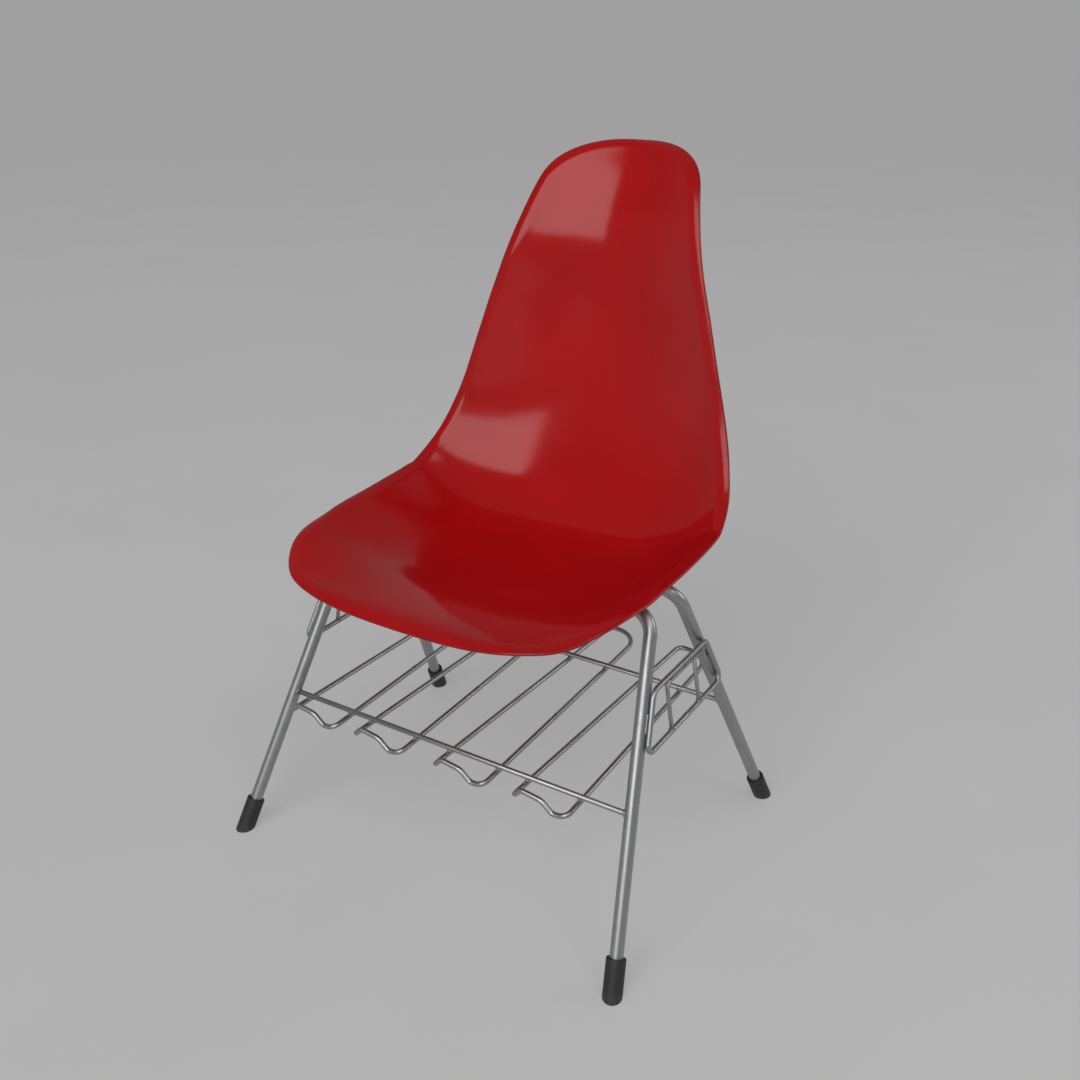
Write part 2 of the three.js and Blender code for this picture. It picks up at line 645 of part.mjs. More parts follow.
for (const [side, sideName] of [[-1, 'left'], [1, 'right']]) {
  addPiece(`mount_strap_${sideName}`, mountStrap(side), satinSteel);
  for (const [end, endName] of [[-1, 'front'], [1, 'rear']]) {
    const place = [side * STRAP_X, end * MOUNT_Y];
    addPiece(`shock_mount_${endName}_${sideName}`, shockMount(...place), blackRubber);
    addPiece(`mount_insert_${endName}_${sideName}`, threadedInsert(...place), zincSteel);
    addPiece(`mount_washer_${endName}_${sideName}`, washer(...place), zincSteel);
    addPiece(`mount_bolt_${endName}_${sideName}`, mountBolt(...place), zincSteel);
  }
}

// The origin is on the floor under the middle of the chair's bounding box.
const bounds = new THREE.Box3().setFromObject(chair);
chair.position.y = -(bounds.min.y + bounds.max.y) / 2;
chair.updateMatrixWorld(true);

export default chair;
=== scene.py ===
"""Looks of the student desk chair: moulded red shell on a satin steel base.

Shapes are worked out in millimetres around the middle of the four feet, -Y to the
front and +X to the right as seen from the front, which is also what left and right
mean in names. to_frame() puts them into the frame's metres.
"""
import math

import bmesh
import bpy
import numpy as np
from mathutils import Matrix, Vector
from mathutils.bvhtree import BVHTree


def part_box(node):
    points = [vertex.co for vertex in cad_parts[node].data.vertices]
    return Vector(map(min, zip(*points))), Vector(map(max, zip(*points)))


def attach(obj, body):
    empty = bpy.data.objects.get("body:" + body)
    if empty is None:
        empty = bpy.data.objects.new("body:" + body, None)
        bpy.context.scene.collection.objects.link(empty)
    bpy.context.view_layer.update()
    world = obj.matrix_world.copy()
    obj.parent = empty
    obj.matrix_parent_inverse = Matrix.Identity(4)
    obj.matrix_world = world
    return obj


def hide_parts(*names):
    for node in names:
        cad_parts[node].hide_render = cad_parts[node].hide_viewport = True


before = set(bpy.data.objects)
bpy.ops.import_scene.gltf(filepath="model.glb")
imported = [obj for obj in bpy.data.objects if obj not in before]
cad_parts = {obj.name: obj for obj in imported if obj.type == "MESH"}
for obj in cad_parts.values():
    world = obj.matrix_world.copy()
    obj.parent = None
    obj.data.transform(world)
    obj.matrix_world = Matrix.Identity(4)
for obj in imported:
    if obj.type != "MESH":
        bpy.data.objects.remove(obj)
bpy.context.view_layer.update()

# the straps lie evenly about the middle of the feet
strap_low_corner, strap_high_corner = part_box("mount_strap_left")
MIDDLE_Y = (strap_low_corner.y + strap_high_corner.y) / 2

# -------------------- camera
CAMERA_FROM_FEET = (0.7100, -1.0588, 0.9706)  # metres, from the middle of the feet
CAMERA_TILT_DOWN = 24.155  # degrees
CAMERA_TURN = 31.988
CAMERA_SENSOR = 36.0
CAMERA_LENS = 38.60

camera = bpy.data.objects.new("camera", bpy.data.cameras.new("camera"))
camera.data.sensor_width = CAMERA_SENSOR
camera.data.lens = CAMERA_LENS
camera.location = Vector(CAMERA_FROM_FEET) + Vector((0, MIDDLE_Y, 0))
camera.rotation_euler = (math.radians(90 - CAMERA_TILT_DOWN), 0, math.radians(CAMERA_TURN))
bpy.context.scene.collection.objects.link(camera)
bpy.context.scene.camera = camera

# -------------------- dimensions
MM_PER_METRE = 1000

FOOT_X = 275.1
FOOT_Y = 214.25
LEAN_X = 0.1617  # inward lean per mm of height
LEAN_Y = 0.4903
TUBE_RADIUS = 7.75
TUBE_WALL = 1.5
SHOULDER_HEIGHT = 389.7
SHOULDER_BEND = 30
SADDLE_HEIGHT = 332
SADDLE_HALF = 101
SADDLE_BEND = 30
BOOT_RADIUS = 11.3
BOOT_LENGTH = 43
BOOT_SOLE = 9
BOOT_BELOW_FLOOR = 7  # cut off level with the floor
BOOT_WALL_HEIGHTS = (6, 16, 30)
BOOT_SHOULDER = 0.9
BOOT_MOUTH = 0.5
BOOT_SOCKET_PLAY = 0.1
BOOT_SOLE_EDGE = 1.1
LEG_START = 11.6  # along the leg axis, from the floor to the end of the tube

SHELL_THICKNESS = 4
LIP_WIDTH = 15
LIP_POWER = 2.2
LIP_DROP_FRONT = 5.5
LIP_DROP_SIDES = 8.5
LIP_DEEPENING = (60, 180)  # distances along the shell between which the drop grows
SIDE_HALF_WIDTH = 228.4
WAIST_START = 411.5
WAIST_BLEND = 39.3
BACK_TAPER = 0.306
FRONT_ROUNDING = (200.4, 3.56, 3.62)  # length, power, power of the width
TOP_ROUNDING = (72.9, 2.31)  # length, power
CENTRELINE = [  # (y, height) from the front edge to the top
    (-213, 376), (-203, 379.4), (-186, 380.5), (-119.4, 372.8), (-59.4, 360.4),
    (0, 353.7), (54.7, 354.5), (104.1, 361.4), (142.3, 375), (189, 420.5),
    (217.6, 483.1), (250.3, 634.5), (271.8, 753.7), (317.7, 837.7),
]
# height of the side edge above the centreline, by distance along the shell
DISH_STATIONS = [0, 30, 70, 120, 190, 280, 370, 450, 520, 600, 700, 780, 865]
DISH_HEIGHTS = [26.1, 18.8, 33.3, 45.9, 61.2, 65.6, 58.7, 49.1, 44.5, 48.5, 49.2, 35.1, 25.4]
# how late the dish rises: a higher power keeps the middle flatter
DISH_POWER_STATIONS = [0, 300, 430, 560, 865]
DISH_POWERS = [2.08, 3.04, 2.75, 2.07, 1.72]

WIRE_RADIUS = 3.25
RACK_FRONT_HEIGHT = 175.4
RACK_REAR_HEIGHT = 188.3
RACK_NOSE_Y = -157
RACK_TAIL_Y = 221.5
LOOP_FRONT_CENTRES = [-188.6, -85.2, 36.1, 147.4]
LOOP_REAR_CENTRES = [-172.4, -71.3, 47.6, 156.1]
LOOP_FRONT_WIDTH = 70.2
LOOP_REAR_WIDTH = 54.6
LOOP_TAIL_BEND = 38
LOOP_REAR_LEFT_BEND = 9
LOOP_NOSE_RIGHT_BEND = 8
# the waved nose of a loop: distance from its left wire, lift, bend
LOOP_NOSE = [(0, 0, 5.5), (11, 11, 7), (38, 7.5, 17), (52.5, -5, 9), (62, -4, 5)]
BAR_SINK = 1.0  # how far a bar's end reaches into the wall of the leg
GANG_BOTTOM = 235.2
GANG_TOP = 299.5
GANG_POST_RADIUS = 2.5
GANG_POST_FRONT_Y = -37
GANG_POST_REAR_Y = 34.5
GANG_STAY_END_Y = 61
GANG_REAR_BOTTOM_BEND = 10
GANG_FRONT_TOP_BEND = 15
GANG_BEND = 9
GANG_STAY_BEND = 5
POST_SINK = 0.6

STRAP_X = 78
STRAP_LOW = 340.05
MOUNT_Y = 70
MOUNT_LOW = 343.35
INSERT_HEIGHT = 8
BOLT_RADIUS = 2.9
BOLT_HEAD_RADIUS = 5.7
BOLT_HEAD_HEIGHT = 4
WASHER_RADIUS = 7
BOLT_FACE_SHARE = 0.96  # radius of the head's turned face, as a share of its flats
BOLT_END_PLAY = 0.5
WASHER_THICKNESS = 1.2
WASHER_PLAY = 0.2
WASHER_EDGE = 0.35
GAP = 0.3

SIDES = {"left": -1, "right": 1}
ENDS = {"front": -1, "rear": 1}


# -------------------- helpers
def to_frame(points):
    return np.asarray(points, float) / MM_PER_METRE + np.array([0, MIDDLE_Y, 0])


def unit(vectors):
    vectors = np.asarray(vectors, float)
    return vectors / np.linalg.norm(vectors, axis=-1, keepdims=True)


def make_piece(name, points, faces, sharp_degrees=None):
    mesh = bpy.data.meshes.new(name)
    mesh.from_pydata(to_frame(points).tolist(), [], faces)
    mesh.update()
    mesh.shade_smooth()
    if sharp_degrees:
        mesh.set_sharp_from_angle(angle=math.radians(sharp_degrees))
    piece = bpy.data.objects.new(name, mesh)
    bpy.context.scene.collection.objects.link(piece)
    return piece


def finish_piece(piece, slot, material, *replaced):
    """Gives a piece its material and hands it to the frame, in place of the CAD nodes named."""
    piece.data.materials.append(material)
    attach(piece, "root")
    if replaced:
        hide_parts(*replaced)


def store(piece, name, values):
    """Keeps a number or a vector for every point, for the materials to read."""
    is_vector = np.ndim(values) == 2
    attribute = piece.data.attributes.new(name, "FLOAT_VECTOR" if is_vector else "FLOAT", "POINT")
    attribute.data.foreach_set("vector" if is_vector else "value", np.ravel(values).astype("f"))


def merged(parts):
    """Joins (points, faces) lists into one."""
    points = []
    faces = []
    for part_points, part_faces in parts:
        start = len(points)
        points.extend(np.asarray(part_points).tolist())
        faces.extend([tuple(start + i for i in face) for face in part_faces])
    return points, faces


def bent_path(corners, degrees_per_step=5.0):
    """Stations and directions of straight runs joined by round bends; corners are (point, bend)."""
    places = [np.asarray(place, float) for place, _ in corners]
    stations = [places[0]]
    directions = [unit(places[1] - places[0])]
    for before, corner, after, bend in zip(places, places[1:], places[2:], [b for _, b in corners[1:-1]]):
        arriving = unit(corner - before)
        leaving = unit(after - corner)
        turn = math.acos(np.clip(arriving @ leaving, -1, 1))
        start = corner - arriving * bend * math.tan(turn / 2)
        inward = unit(leaving - arriving * (leaving @ arriving))
        steps = max(3, math.ceil(math.degrees(turn) / degrees_per_step))
        for angle in np.linspace(0, turn, steps + 1):
            stations.append(start + bend * (arriving * math.sin(angle) + inward * (1 - math.cos(angle))))
            directions.append(arriving * math.cos(angle) + inward * math.sin(angle))
    stations.append(places[-1])
    directions.append(unit(places[-1] - places[-2]))
    return np.array(stations), np.array(directions)


SLANTED = (0.3, 0.5, 0.8)  # a direction that no rod runs along


def carried_sideways(directions, closed):
    """Two side directions for every station, carried along without twist."""
    side = unit(np.cross(directions[0], SLANTED))
    sides = [side]
    for direction in directions[1:]:
        side = unit(side - direction * (side @ direction))
        sides.append(side)
    sides = np.array(sides)
    others = np.cross(directions, sides)
    if closed:
        back = unit(sides[-1] - directions[0] * (sides[-1] @ directions[0]))
        twist = math.atan2(back @ others[0], back @ sides[0])
        angles = -twist * np.linspace(0, 1, len(sides))[:, None]
        turned_sides = np.cos(angles) * sides + np.sin(angles) * others
        others = np.cos(angles) * others - np.sin(angles) * sides
        sides = turned_sides
    return sides, others


def swept(stations, directions, radii, sides, closed=False):
    """Points, faces and straightened places of a round rod along the stations."""
    across, upward = carried_sideways(directions, closed)
    radii = np.broadcast_to(radii, len(stations))
    angles = np.linspace(0, 2 * np.pi, sides, endpoint=False)
    spokes = np.cos(angles)[None, :, None] * across[:, None]
    spokes = spokes + np.sin(angles)[None, :, None] * upward[:, None]
    points = stations[:, None] + radii[:, None, None] * spokes
    lengths = np.r_[0, np.cumsum(np.linalg.norm(np.diff(stations, axis=0), axis=1))]
    flat = np.stack(
        [
            radii[:, None] * np.cos(angles),
            radii[:, None] * np.sin(angles),
            np.repeat(lengths[:, None], sides, 1),
        ],
        -1,
    )
    count = len(stations)
    faces = []
    for row in range(count if closed else count - 1):
        after = (row + 1) % count
        for side in range(sides):
            beside = (side + 1) % sides
            faces.append(
                (row * sides + side, row * sides + beside, after * sides + beside, after * sides + side)
            )
    if not closed:
        faces.append(tuple(reversed(range(sides))))
        faces.append(tuple((count - 1) * sides + side for side in range(sides)))
    return points.reshape(-1, 3), faces, flat.reshape(-1, 3) / MM_PER_METRE


# a butt weld: distance along the wire from its middle, swelling
BUTT_WELD = [(-2.6, 0), (-1.6, 0.18), (-0.8, 0.34), (0, 0.22), (0.8, 0.36), (1.6, 0.16), (2.6, 0)]


def rod(name, corners, radius, sides=28, closed=False, chamfer=0.5):
    """A bent wire: closed loops get a small butt weld where the two ends meet."""
    stations, directions = bent_path(corners)
    if closed:
        run = unit(stations[0] - stations[-2])
        weld = np.array([stations[0] + run * along for along, _ in BUTT_WELD])
        stations = np.vstack([weld, stations[1:-1]])
        directions = np.vstack([[run] * len(BUTT_WELD), directions[1:-1]])
        radii = np.full(len(stations), radius)
        radii[: len(BUTT_WELD)] += [swell for _, swell in BUTT_WELD]
    else:
        ends = [stations[0] + directions[0] * chamfer, stations[-1] - directions[-1] * chamfer]
        stations = np.vstack([stations[:1], ends[:1], stations[1:-1], ends[1:], stations[-1:]])
        first, last = directions[:1], directions[-1:]
        directions = np.vstack([first, first, directions[1:-1], last, last])
        radii = np.full(len(stations), radius)
        radii[[0, -1]] -= chamfer
    points, faces, flat = swept(stations, directions, radii, sides, closed)
    piece = make_piece(name, points, faces, 50)
    store(piece, "straightened", flat)
    return piece


def turned(profile, sides):
    """A turned body about +Z; profile points are (radius, height), from axis to axis."""
    points = []
    faces = []
    rings = []
    for radius, height in profile:
        if radius == 0:
            rings.append([len(points)])
            points.append((0, 0, height))
            continue
        rings.append(list(range(len(points), len(points) + sides)))
        for angle in np.linspace(0, 2 * np.pi, sides, endpoint=False):
            points.append((radius * math.cos(angle), radius * math.sin(angle), height))
    for low, high in zip(rings, rings[1:]):
        for side in range(sides):
            beside = (side + 1) % sides
            if len(low) == 1:
                faces.append((low[0], high[beside], high[side]))
            elif len(high) == 1:
                faces.append((low[side], low[beside], high[0]))
            else:
                faces.append((low[side], low[beside], high[beside], high[side]))
    return np.array(points), faces


def rounded_corner(centre_radius, centre_height, size, start_degrees, end_degrees, steps=5):
    angles = np.radians(np.linspace(start_degrees, end_degrees, steps))
    return [(centre_radius + size * math.cos(a), centre_height + size * math.sin(a)) for a in angles]


# -------------------- node helpers
# the sockets of a Mix node that are for colours
MIX_SHARE = 0
MIX_FIRST = 6
MIX_SECOND = 7
MIX_COLOUR = 2


class Finish:
    """A node material built step by step around one Principled shader."""

    def __init__(self, name, **fixed):
        self.material = bpy.data.materials.new(name)
        self.material.use_nodes = True
        self.tree = self.material.node_tree
        self.shader = self.tree.nodes["Principled BSDF"]
        for socket, value in fixed.items():
            self.shader.inputs[socket.replace("_", " ")].default_value = value

    def add(self, kind, sockets=None, **settings):
        node = self.tree.nodes.new(kind)
        for key, value in settings.items():
            setattr(node, key, value)
        for key, value in (sockets or {}).items():
            if isinstance(value, bpy.types.NodeSocket):
                self.tree.links.new(value, node.inputs[key])
            else:
                node.inputs[key].default_value = value
        return node

    def feed(self, socket, output):
        self.tree.links.new(output, self.shader.inputs[socket])

    def place(self):
        return self.add("ShaderNodeTexCoord").outputs["Object"]

    def attribute(self, name, output="Fac"):
        return self.add("ShaderNodeAttribute", attribute_name=name).outputs[output]

    def stretched(self, vector, scale):
        return self.add("ShaderNodeMapping", {"Vector": vector, "Scale": scale}).outputs["Vector"]

    def noise(self, vector, scale, detail=3.0, roughness=0.55):
        sockets = {"Vector": vector, "Scale": scale, "Detail": detail, "Roughness": roughness}
        return self.add("ShaderNodeTexNoise", sockets).outputs["Fac"]

    def between(self, value, low, high, out_low=0.0, out_high=1.0):
        sockets = {"Value": value, "From Min": low, "From Max": high, "To Min": out_low, "To Max": out_high}
        return self.add("ShaderNodeMapRange", sockets).outputs["Result"]

    def sum(self, *values):
        total = values[0]
        for value in values[1:]:
            total = self.add("ShaderNodeMath", {0: total, 1: value}, operation="ADD").outputs[0]
        return total

    def product(self, first, second):
        return self.add("ShaderNodeMath", {0: first, 1: second}, operation="MULTIPLY").outputs[0]

    def blend(self, share, first, second):
        node = self.add("ShaderNodeMix", data_type="RGBA")
        for key, value in ((MIX_SHARE, share), (MIX_FIRST, first), (MIX_SECOND, second)):
            if isinstance(value, bpy.types.NodeSocket):
                self.tree.links.new(value, node.inputs[key])
            else:
                node.inputs[key].default_value = value
        return node.outputs[MIX_COLOUR]

    def bump(self, height, distance, strength, normal=None):
        sockets = {"Height": height, "Distance": distance, "Strength": strength}
        if normal:
            sockets["Normal"] = normal
        return self.add("ShaderNodeBump", sockets).outputs["Normal"]


# -------------------- materials
RED_DEEP = (0.36, 0.0030, 0.0045, 1)
RED_LIGHT = (0.41, 0.0042, 0.0058, 1)
# painted shade: a darker red for the rim of the lip
RED_LIP_PAINTED_SHADE = (0.20, 0.0030, 0.0040, 1)
PLASTIC_ROUGHNESS = 0.11
TUBE_DARK = (0.31, 0.315, 0.32, 1)
TUBE_LIGHT = (0.40, 0.405, 0.41, 1)
TUBE_DULL = (0.25, 0.255, 0.26, 1)
WELD_DARK = (0.27, 0.26, 0.25, 1)
WELD_LIGHT = (0.40, 0.40, 0.40, 1)
ZINC_BLUE = (0.52, 0.53, 0.55, 1)
ZINC_YELLOW = (0.66, 0.66, 0.62, 1)
STRAP_DARK = (0.35, 0.355, 0.36, 1)
STRAP_LIGHT = (0.45, 0.455, 0.46, 1)
RUBBER_DARK = (0.010, 0.010, 0.0105, 1)
RUBBER_LIGHT = (0.020, 0.020, 0.021, 1)
DUST = (0.11, 0.105, 0.098, 1)
DUST_HEIGHT = 0.012  # metres
FLOOR_DARK = (0.25, 0.25, 0.25, 1)
FLOOR_LIGHT = (0.27, 0.27, 0.27, 1)


def red_plastic():
    """Glossy moulded polypropylene: faint orange peel, scuffs, painted shade darkening the lip, matt
    underside.
    """
    finish = Finish("red_gloss_plastic", IOR=1.5)
    finish.shader.inputs["Specular IOR Level"].default_value = 0.30
    place = finish.place()
    under = finish.attribute("underside")
    lip = finish.attribute("lip")
    clouds = finish.noise(place, 9.0, 4.0)
    # painted shade: the colour darkens towards the rim of the lip, mottled by noise; the same mask also
    # makes the lip rougher
    lip_shade_and_grime = finish.product(lip, finish.between(finish.noise(place, 60.0, 5.0), 0.25, 0.65))
    colour = finish.blend(finish.between(clouds, 0.3, 0.7), RED_DEEP, RED_LIGHT)
    colour = finish.blend(finish.product(lip_shade_and_grime, 0.8), colour, RED_LIP_PAINTED_SHADE)
    finish.feed("Base Color", colour)
    scuffs = finish.between(finish.noise(finish.stretched(place, (40, 12, 40)), 3.0, 6.0, 0.7), 0.58, 0.75)
    handling = finish.between(finish.noise(place, 14.0, 4.0), 0.35, 0.75, 0.0, 0.05)
    roughness = finish.sum(
        handling,
        finish.product(scuffs, 0.07),
        finish.product(under, 0.28),
        finish.product(lip_shade_and_grime, 0.12),
        PLASTIC_ROUGHNESS,
    )
    finish.feed("Roughness", roughness)
    peel = finish.bump(finish.noise(place, 240.0, 1.0), 0.0002, 0.045)
    grain = finish.noise(place, 1500.0, 2.0)
    grain_share = finish.sum(finish.product(under, 0.5), 0.05)
    sockets = {"Height": grain, "Distance": 0.0002, "Strength": grain_share, "Normal": peel}
    finish.feed("Normal", finish.add("ShaderNodeBump", sockets).outputs["Normal"])
    return finish.material


def satin_steel():
    """Matt zinc-plated tube and wire: drawing streaks along the metal and cloudy plating."""
    finish = Finish("satin_zinc_steel", Metallic=1.0)
    along = finish.attribute("straightened", "Vector")
    place = finish.place()
    streaks = finish.noise(finish.stretched(along, (900, 900, 9)), 1.0, 4.0, 0.6)
    clouds = finish.noise(place, 38.0, 5.0, 0.6)
    colour = finish.blend(finish.between(streaks, 0.3, 0.7), TUBE_DARK, TUBE_LIGHT)
    colour = finish.blend(finish.between(clouds, 0.52, 0.72, 0.0, 0.45), colour, TUBE_DULL)
    finish.feed("Base Color", colour)
    roughness = finish.sum(
        finish.between(streaks, 0.25, 0.75, 0.31, 0.41), finish.between(clouds, 0.4, 0.75, 0.0, 0.09)
    )
    finish.feed("Roughness", roughness)
    fine = finish.bump(streaks, 0.0002, 0.16)
    finish.feed("Normal", finish.bump(finish.noise(place, 900.0, 3.0), 0.0001, 0.22, fine))
    return finish.material


def weld_steel():
    """Bare weld metal, a little darker and rougher than the tube, with heat tint."""
    finish = Finish("weld_steel", Metallic=1.0)
    place = finish.place()
    tint = finish.noise(place, 210.0, 4.0)
    finish.feed("Base Color", finish.blend(finish.between(tint, 0.35, 0.65), WELD_DARK, WELD_LIGHT))
    finish.feed("Roughness", finish.between(tint, 0.3, 0.7, 0.38, 0.56))
    finish.feed("Normal", finish.bump(finish.noise(place, 1200.0, 3.0), 0.0002, 0.35))
    return finish.material


def zinc_steel():
    """Bright zinc fasteners with a faint crystalline mottling."""
    finish = Finish("bright_zinc_steel", Metallic=1.0)
    place = finish.place()
    mottle = finish.noise(place, 420.0, 3.0)
    finish.feed("Base Color", finish.blend(finish.between(mottle, 0.35, 0.65), ZINC_BLUE, ZINC_YELLOW))
    finish.feed("Roughness", finish.between(mottle, 0.3, 0.7, 0.24, 0.4))
    finish.feed("Normal", finish.bump(finish.noise(place, 1600.0, 2.0), 0.0001, 0.25))
    return finish.material


def black_rubber(name, dusty):
    """Black rubber with a fine grain; boots gather floor dust near the ground."""
    finish = Finish(name)
    place = finish.place()
    speckle = finish.noise(place, 260.0, 5.0, 0.7)
    colour = finish.blend(finish.between(speckle, 0.35, 0.7), RUBBER_DARK, RUBBER_LIGHT)
    if dusty:
        height = finish.add("ShaderNodeSeparateXYZ", {0: place}).outputs["Z"]
        near_floor = finish.between(height, 0.0, DUST_HEIGHT, 1.0, 0.0)
        dust = finish.product(near_floor, finish.between(speckle, 0.35, 0.65))
        colour = finish.blend(finish.product(dust, 0.4), colour, DUST)
    finish.feed("Base Color", colour)
    finish.feed("Roughness", finish.between(speckle, 0.3, 0.7, 0.5, 0.68))
    grain = finish.bump(finish.noise(place, 1100.0, 3.0), 0.0003, 0.25)
    finish.feed("Normal", finish.bump(finish.noise(place, 150.0, 2.0), 0.0004, 0.08, grain))
    return finish.material


PLASTIC = red_plastic()
STEEL = satin_steel()
WELD = weld_steel()
ZINC = zinc_steel()
BOOT_RUBBER = black_rubber("boot_black_rubber", True)
MOUNT_RUBBER = black_rubber("mount_black_rubber", False)


# -------------------- seat shell
def catmull_rom(points, per_span=120):
    """Centripetal Catmull-Rom curve through the points, as dense stations."""
    points = np.asarray(points, float)
    padded = np.vstack([2 * points[0] - points[1], points, 2 * points[-1] - points[-2]])
    t = np.linspace(0, 1, per_span, endpoint=False)[:, None]
    rows = []
    for a, b, c, d in zip(padded, padded[1:], padded[2:], padded[3:]):
        before, span, after = (math.sqrt(np.linalg.norm(q - p)) for p, q in ((a, b), (b, c), (c, d)))
        leave = ((b - a) / before - (c - a) / (before + span) + (c - b) / span) * span
        arrive = ((c - b) / span - (d - b) / (span + after) + (d - c) / after) * span
        rows.append(
            (2 * t**3 - 3 * t**2 + 1) * b
            + (t**3 - 2 * t**2 + t) * leave
            + (3 * t**2 - 2 * t**3) * c
            + (t**3 - t**2) * arrive
        )
    return np.vstack([*rows, points[-1:]])


LINE = catmull_rom(CENTRELINE)
LINE_AT = np.r_[0, np.cumsum(np.linalg.norm(np.diff(LINE, axis=0), axis=1))]
LINE_SLOPE = unit(np.gradient(LINE, LINE_AT, axis=0))
SHELL_LENGTH = LINE_AT[-1]


def smooth_through(stations, values, where):
    """Smooth values between stations."""
    stations = np.asarray(stations, float)
    values = np.asarray(values, float)
    last = len(stations) - 1
    low = np.maximum(np.arange(last + 1) - 1, 0)
    high = np.minimum(np.arange(last + 1) + 1, last)
    slope = (values[high] - values[low]) / (stations[high] - stations[low])
    i = np.clip(np.searchsorted(stations, where, side="right") - 1, 0, last - 1)
    width = stations[i + 1] - stations[i]
    t = (where - stations[i]) / width
    rise = (2 * t**3 - 3 * t**2 + 1) * values[i] + (3 * t**2 - 2 * t**3) * values[i + 1]
    return rise + width * ((t**3 - 2 * t**2 + t) * slope[i] + (t**3 - t**2) * slope[i + 1])


def side_half_width(along):
    closing = WAIST_BLEND * np.log1p(np.exp((along - WAIST_START) / WAIST_BLEND))
    return SIDE_HALF_WIDTH - BACK_TAPER * closing


def edge_half_width(along):
    length, power, width_power = FRONT_ROUNDING
    top_length, top_power = TOP_ROUNDING
    front = np.clip((length - along) / length, 0, 1)
    top = np.clip((along - SHELL_LENGTH) / top_length + 1, 0, 1)
    front_factor = (1 - front**power) ** (1 / width_power)
    return side_half_width(along) * front_factor * (1 - top**top_power) ** (1 / top_power)


def shell_surface(x, along):
    """The dished upper surface without its lip."""
    reach = np.clip(along, 0, SHELL_LENGTH)
    foot_y, foot_z = (np.interp(reach, LINE_AT, LINE[:, k]) for k in (0, 1))
    slope_y, slope_z = (np.interp(reach, LINE_AT, LINE_SLOPE[:, k]) for k in (0, 1))
    rise = smooth_through(DISH_STATIONS, DISH_HEIGHTS, along)
    power = smooth_through(DISH_POWER_STATIONS, DISH_POWERS, along)
    rise = rise * (np.abs(x) / side_half_width(along)) ** power
    return np.stack([x, foot_y - slope_z * rise, foot_z + slope_y * rise], -1)


def lip_drop(gap, along):
    """How far the rolled lip falls below the smooth surface, by distance in from the edge."""
    start, end = LIP_DEEPENING
    share = np.clip((along - start) / (end - start), 0, 1)
    full = LIP_DROP_FRONT + (LIP_DROP_SIDES - LIP_DROP_FRONT) * share**2 * (3 - 2 * share)
    return full * np.clip(1 - gap / LIP_WIDTH, 0, 1) ** LIP_POWER


NORMAL_STEP = 1.5


def shell_normal(x, along):
    across = shell_surface(x + NORMAL_STEP, along) - shell_surface(x - NORMAL_STEP, along)
    ahead = shell_surface(x, np.minimum(along + NORMAL_STEP, SHELL_LENGTH))
    lengthways = ahead - shell_surface(x, np.maximum(along - NORMAL_STEP, 0))
    return unit(np.cross(across, lengthways))


# The shell's mesh has rings that shrink from the outline to a spine along the middle.
RAYS_PER_HALF = 170
INNER_RINGS = 34
EDGE_DISTANCES = [20.0, 17.5, 15.4, 13.6, 12.0, 10.5, 9.0, 7.6, 6.3, 5.1, 4.0, 3.0, 2.0]
RIM_STEPS = 8
SPINE_START = 120.0
SPINE_END_MARGIN = 75.0
SPINE_FOLLOW = 0.85  # share of a spine point's place that follows its ray's tip
OUTLINE_SAMPLES = 6001
LIP_FADE = 5.0  # mm in from the edge


def shell_rays():
    """Outline points of one half, flattened to (half width, along), and where on the spine they start."""
    t = np.linspace(0, 1, OUTLINE_SAMPLES)
    along = SHELL_LENGTH * (1 - np.cos(np.pi * t)) / 2
    outline = np.stack([edge_half_width(along), along], -1)
    length = np.r_[0, np.cumsum(np.linalg.norm(np.diff(outline, axis=0), axis=1))]
    share = np.linspace(0, 1, RAYS_PER_HALF + 1)
    tips = np.stack([np.interp(share * length[-1], length, outline[:, k]) for k in (0, 1)], -1)
    progress = SPINE_FOLLOW * tips[:, 1] / SHELL_LENGTH + (1 - SPINE_FOLLOW) * share
    spine = SPINE_START + (SHELL_LENGTH - SPINE_END_MARGIN - SPINE_START) * progress
    return tips, spine


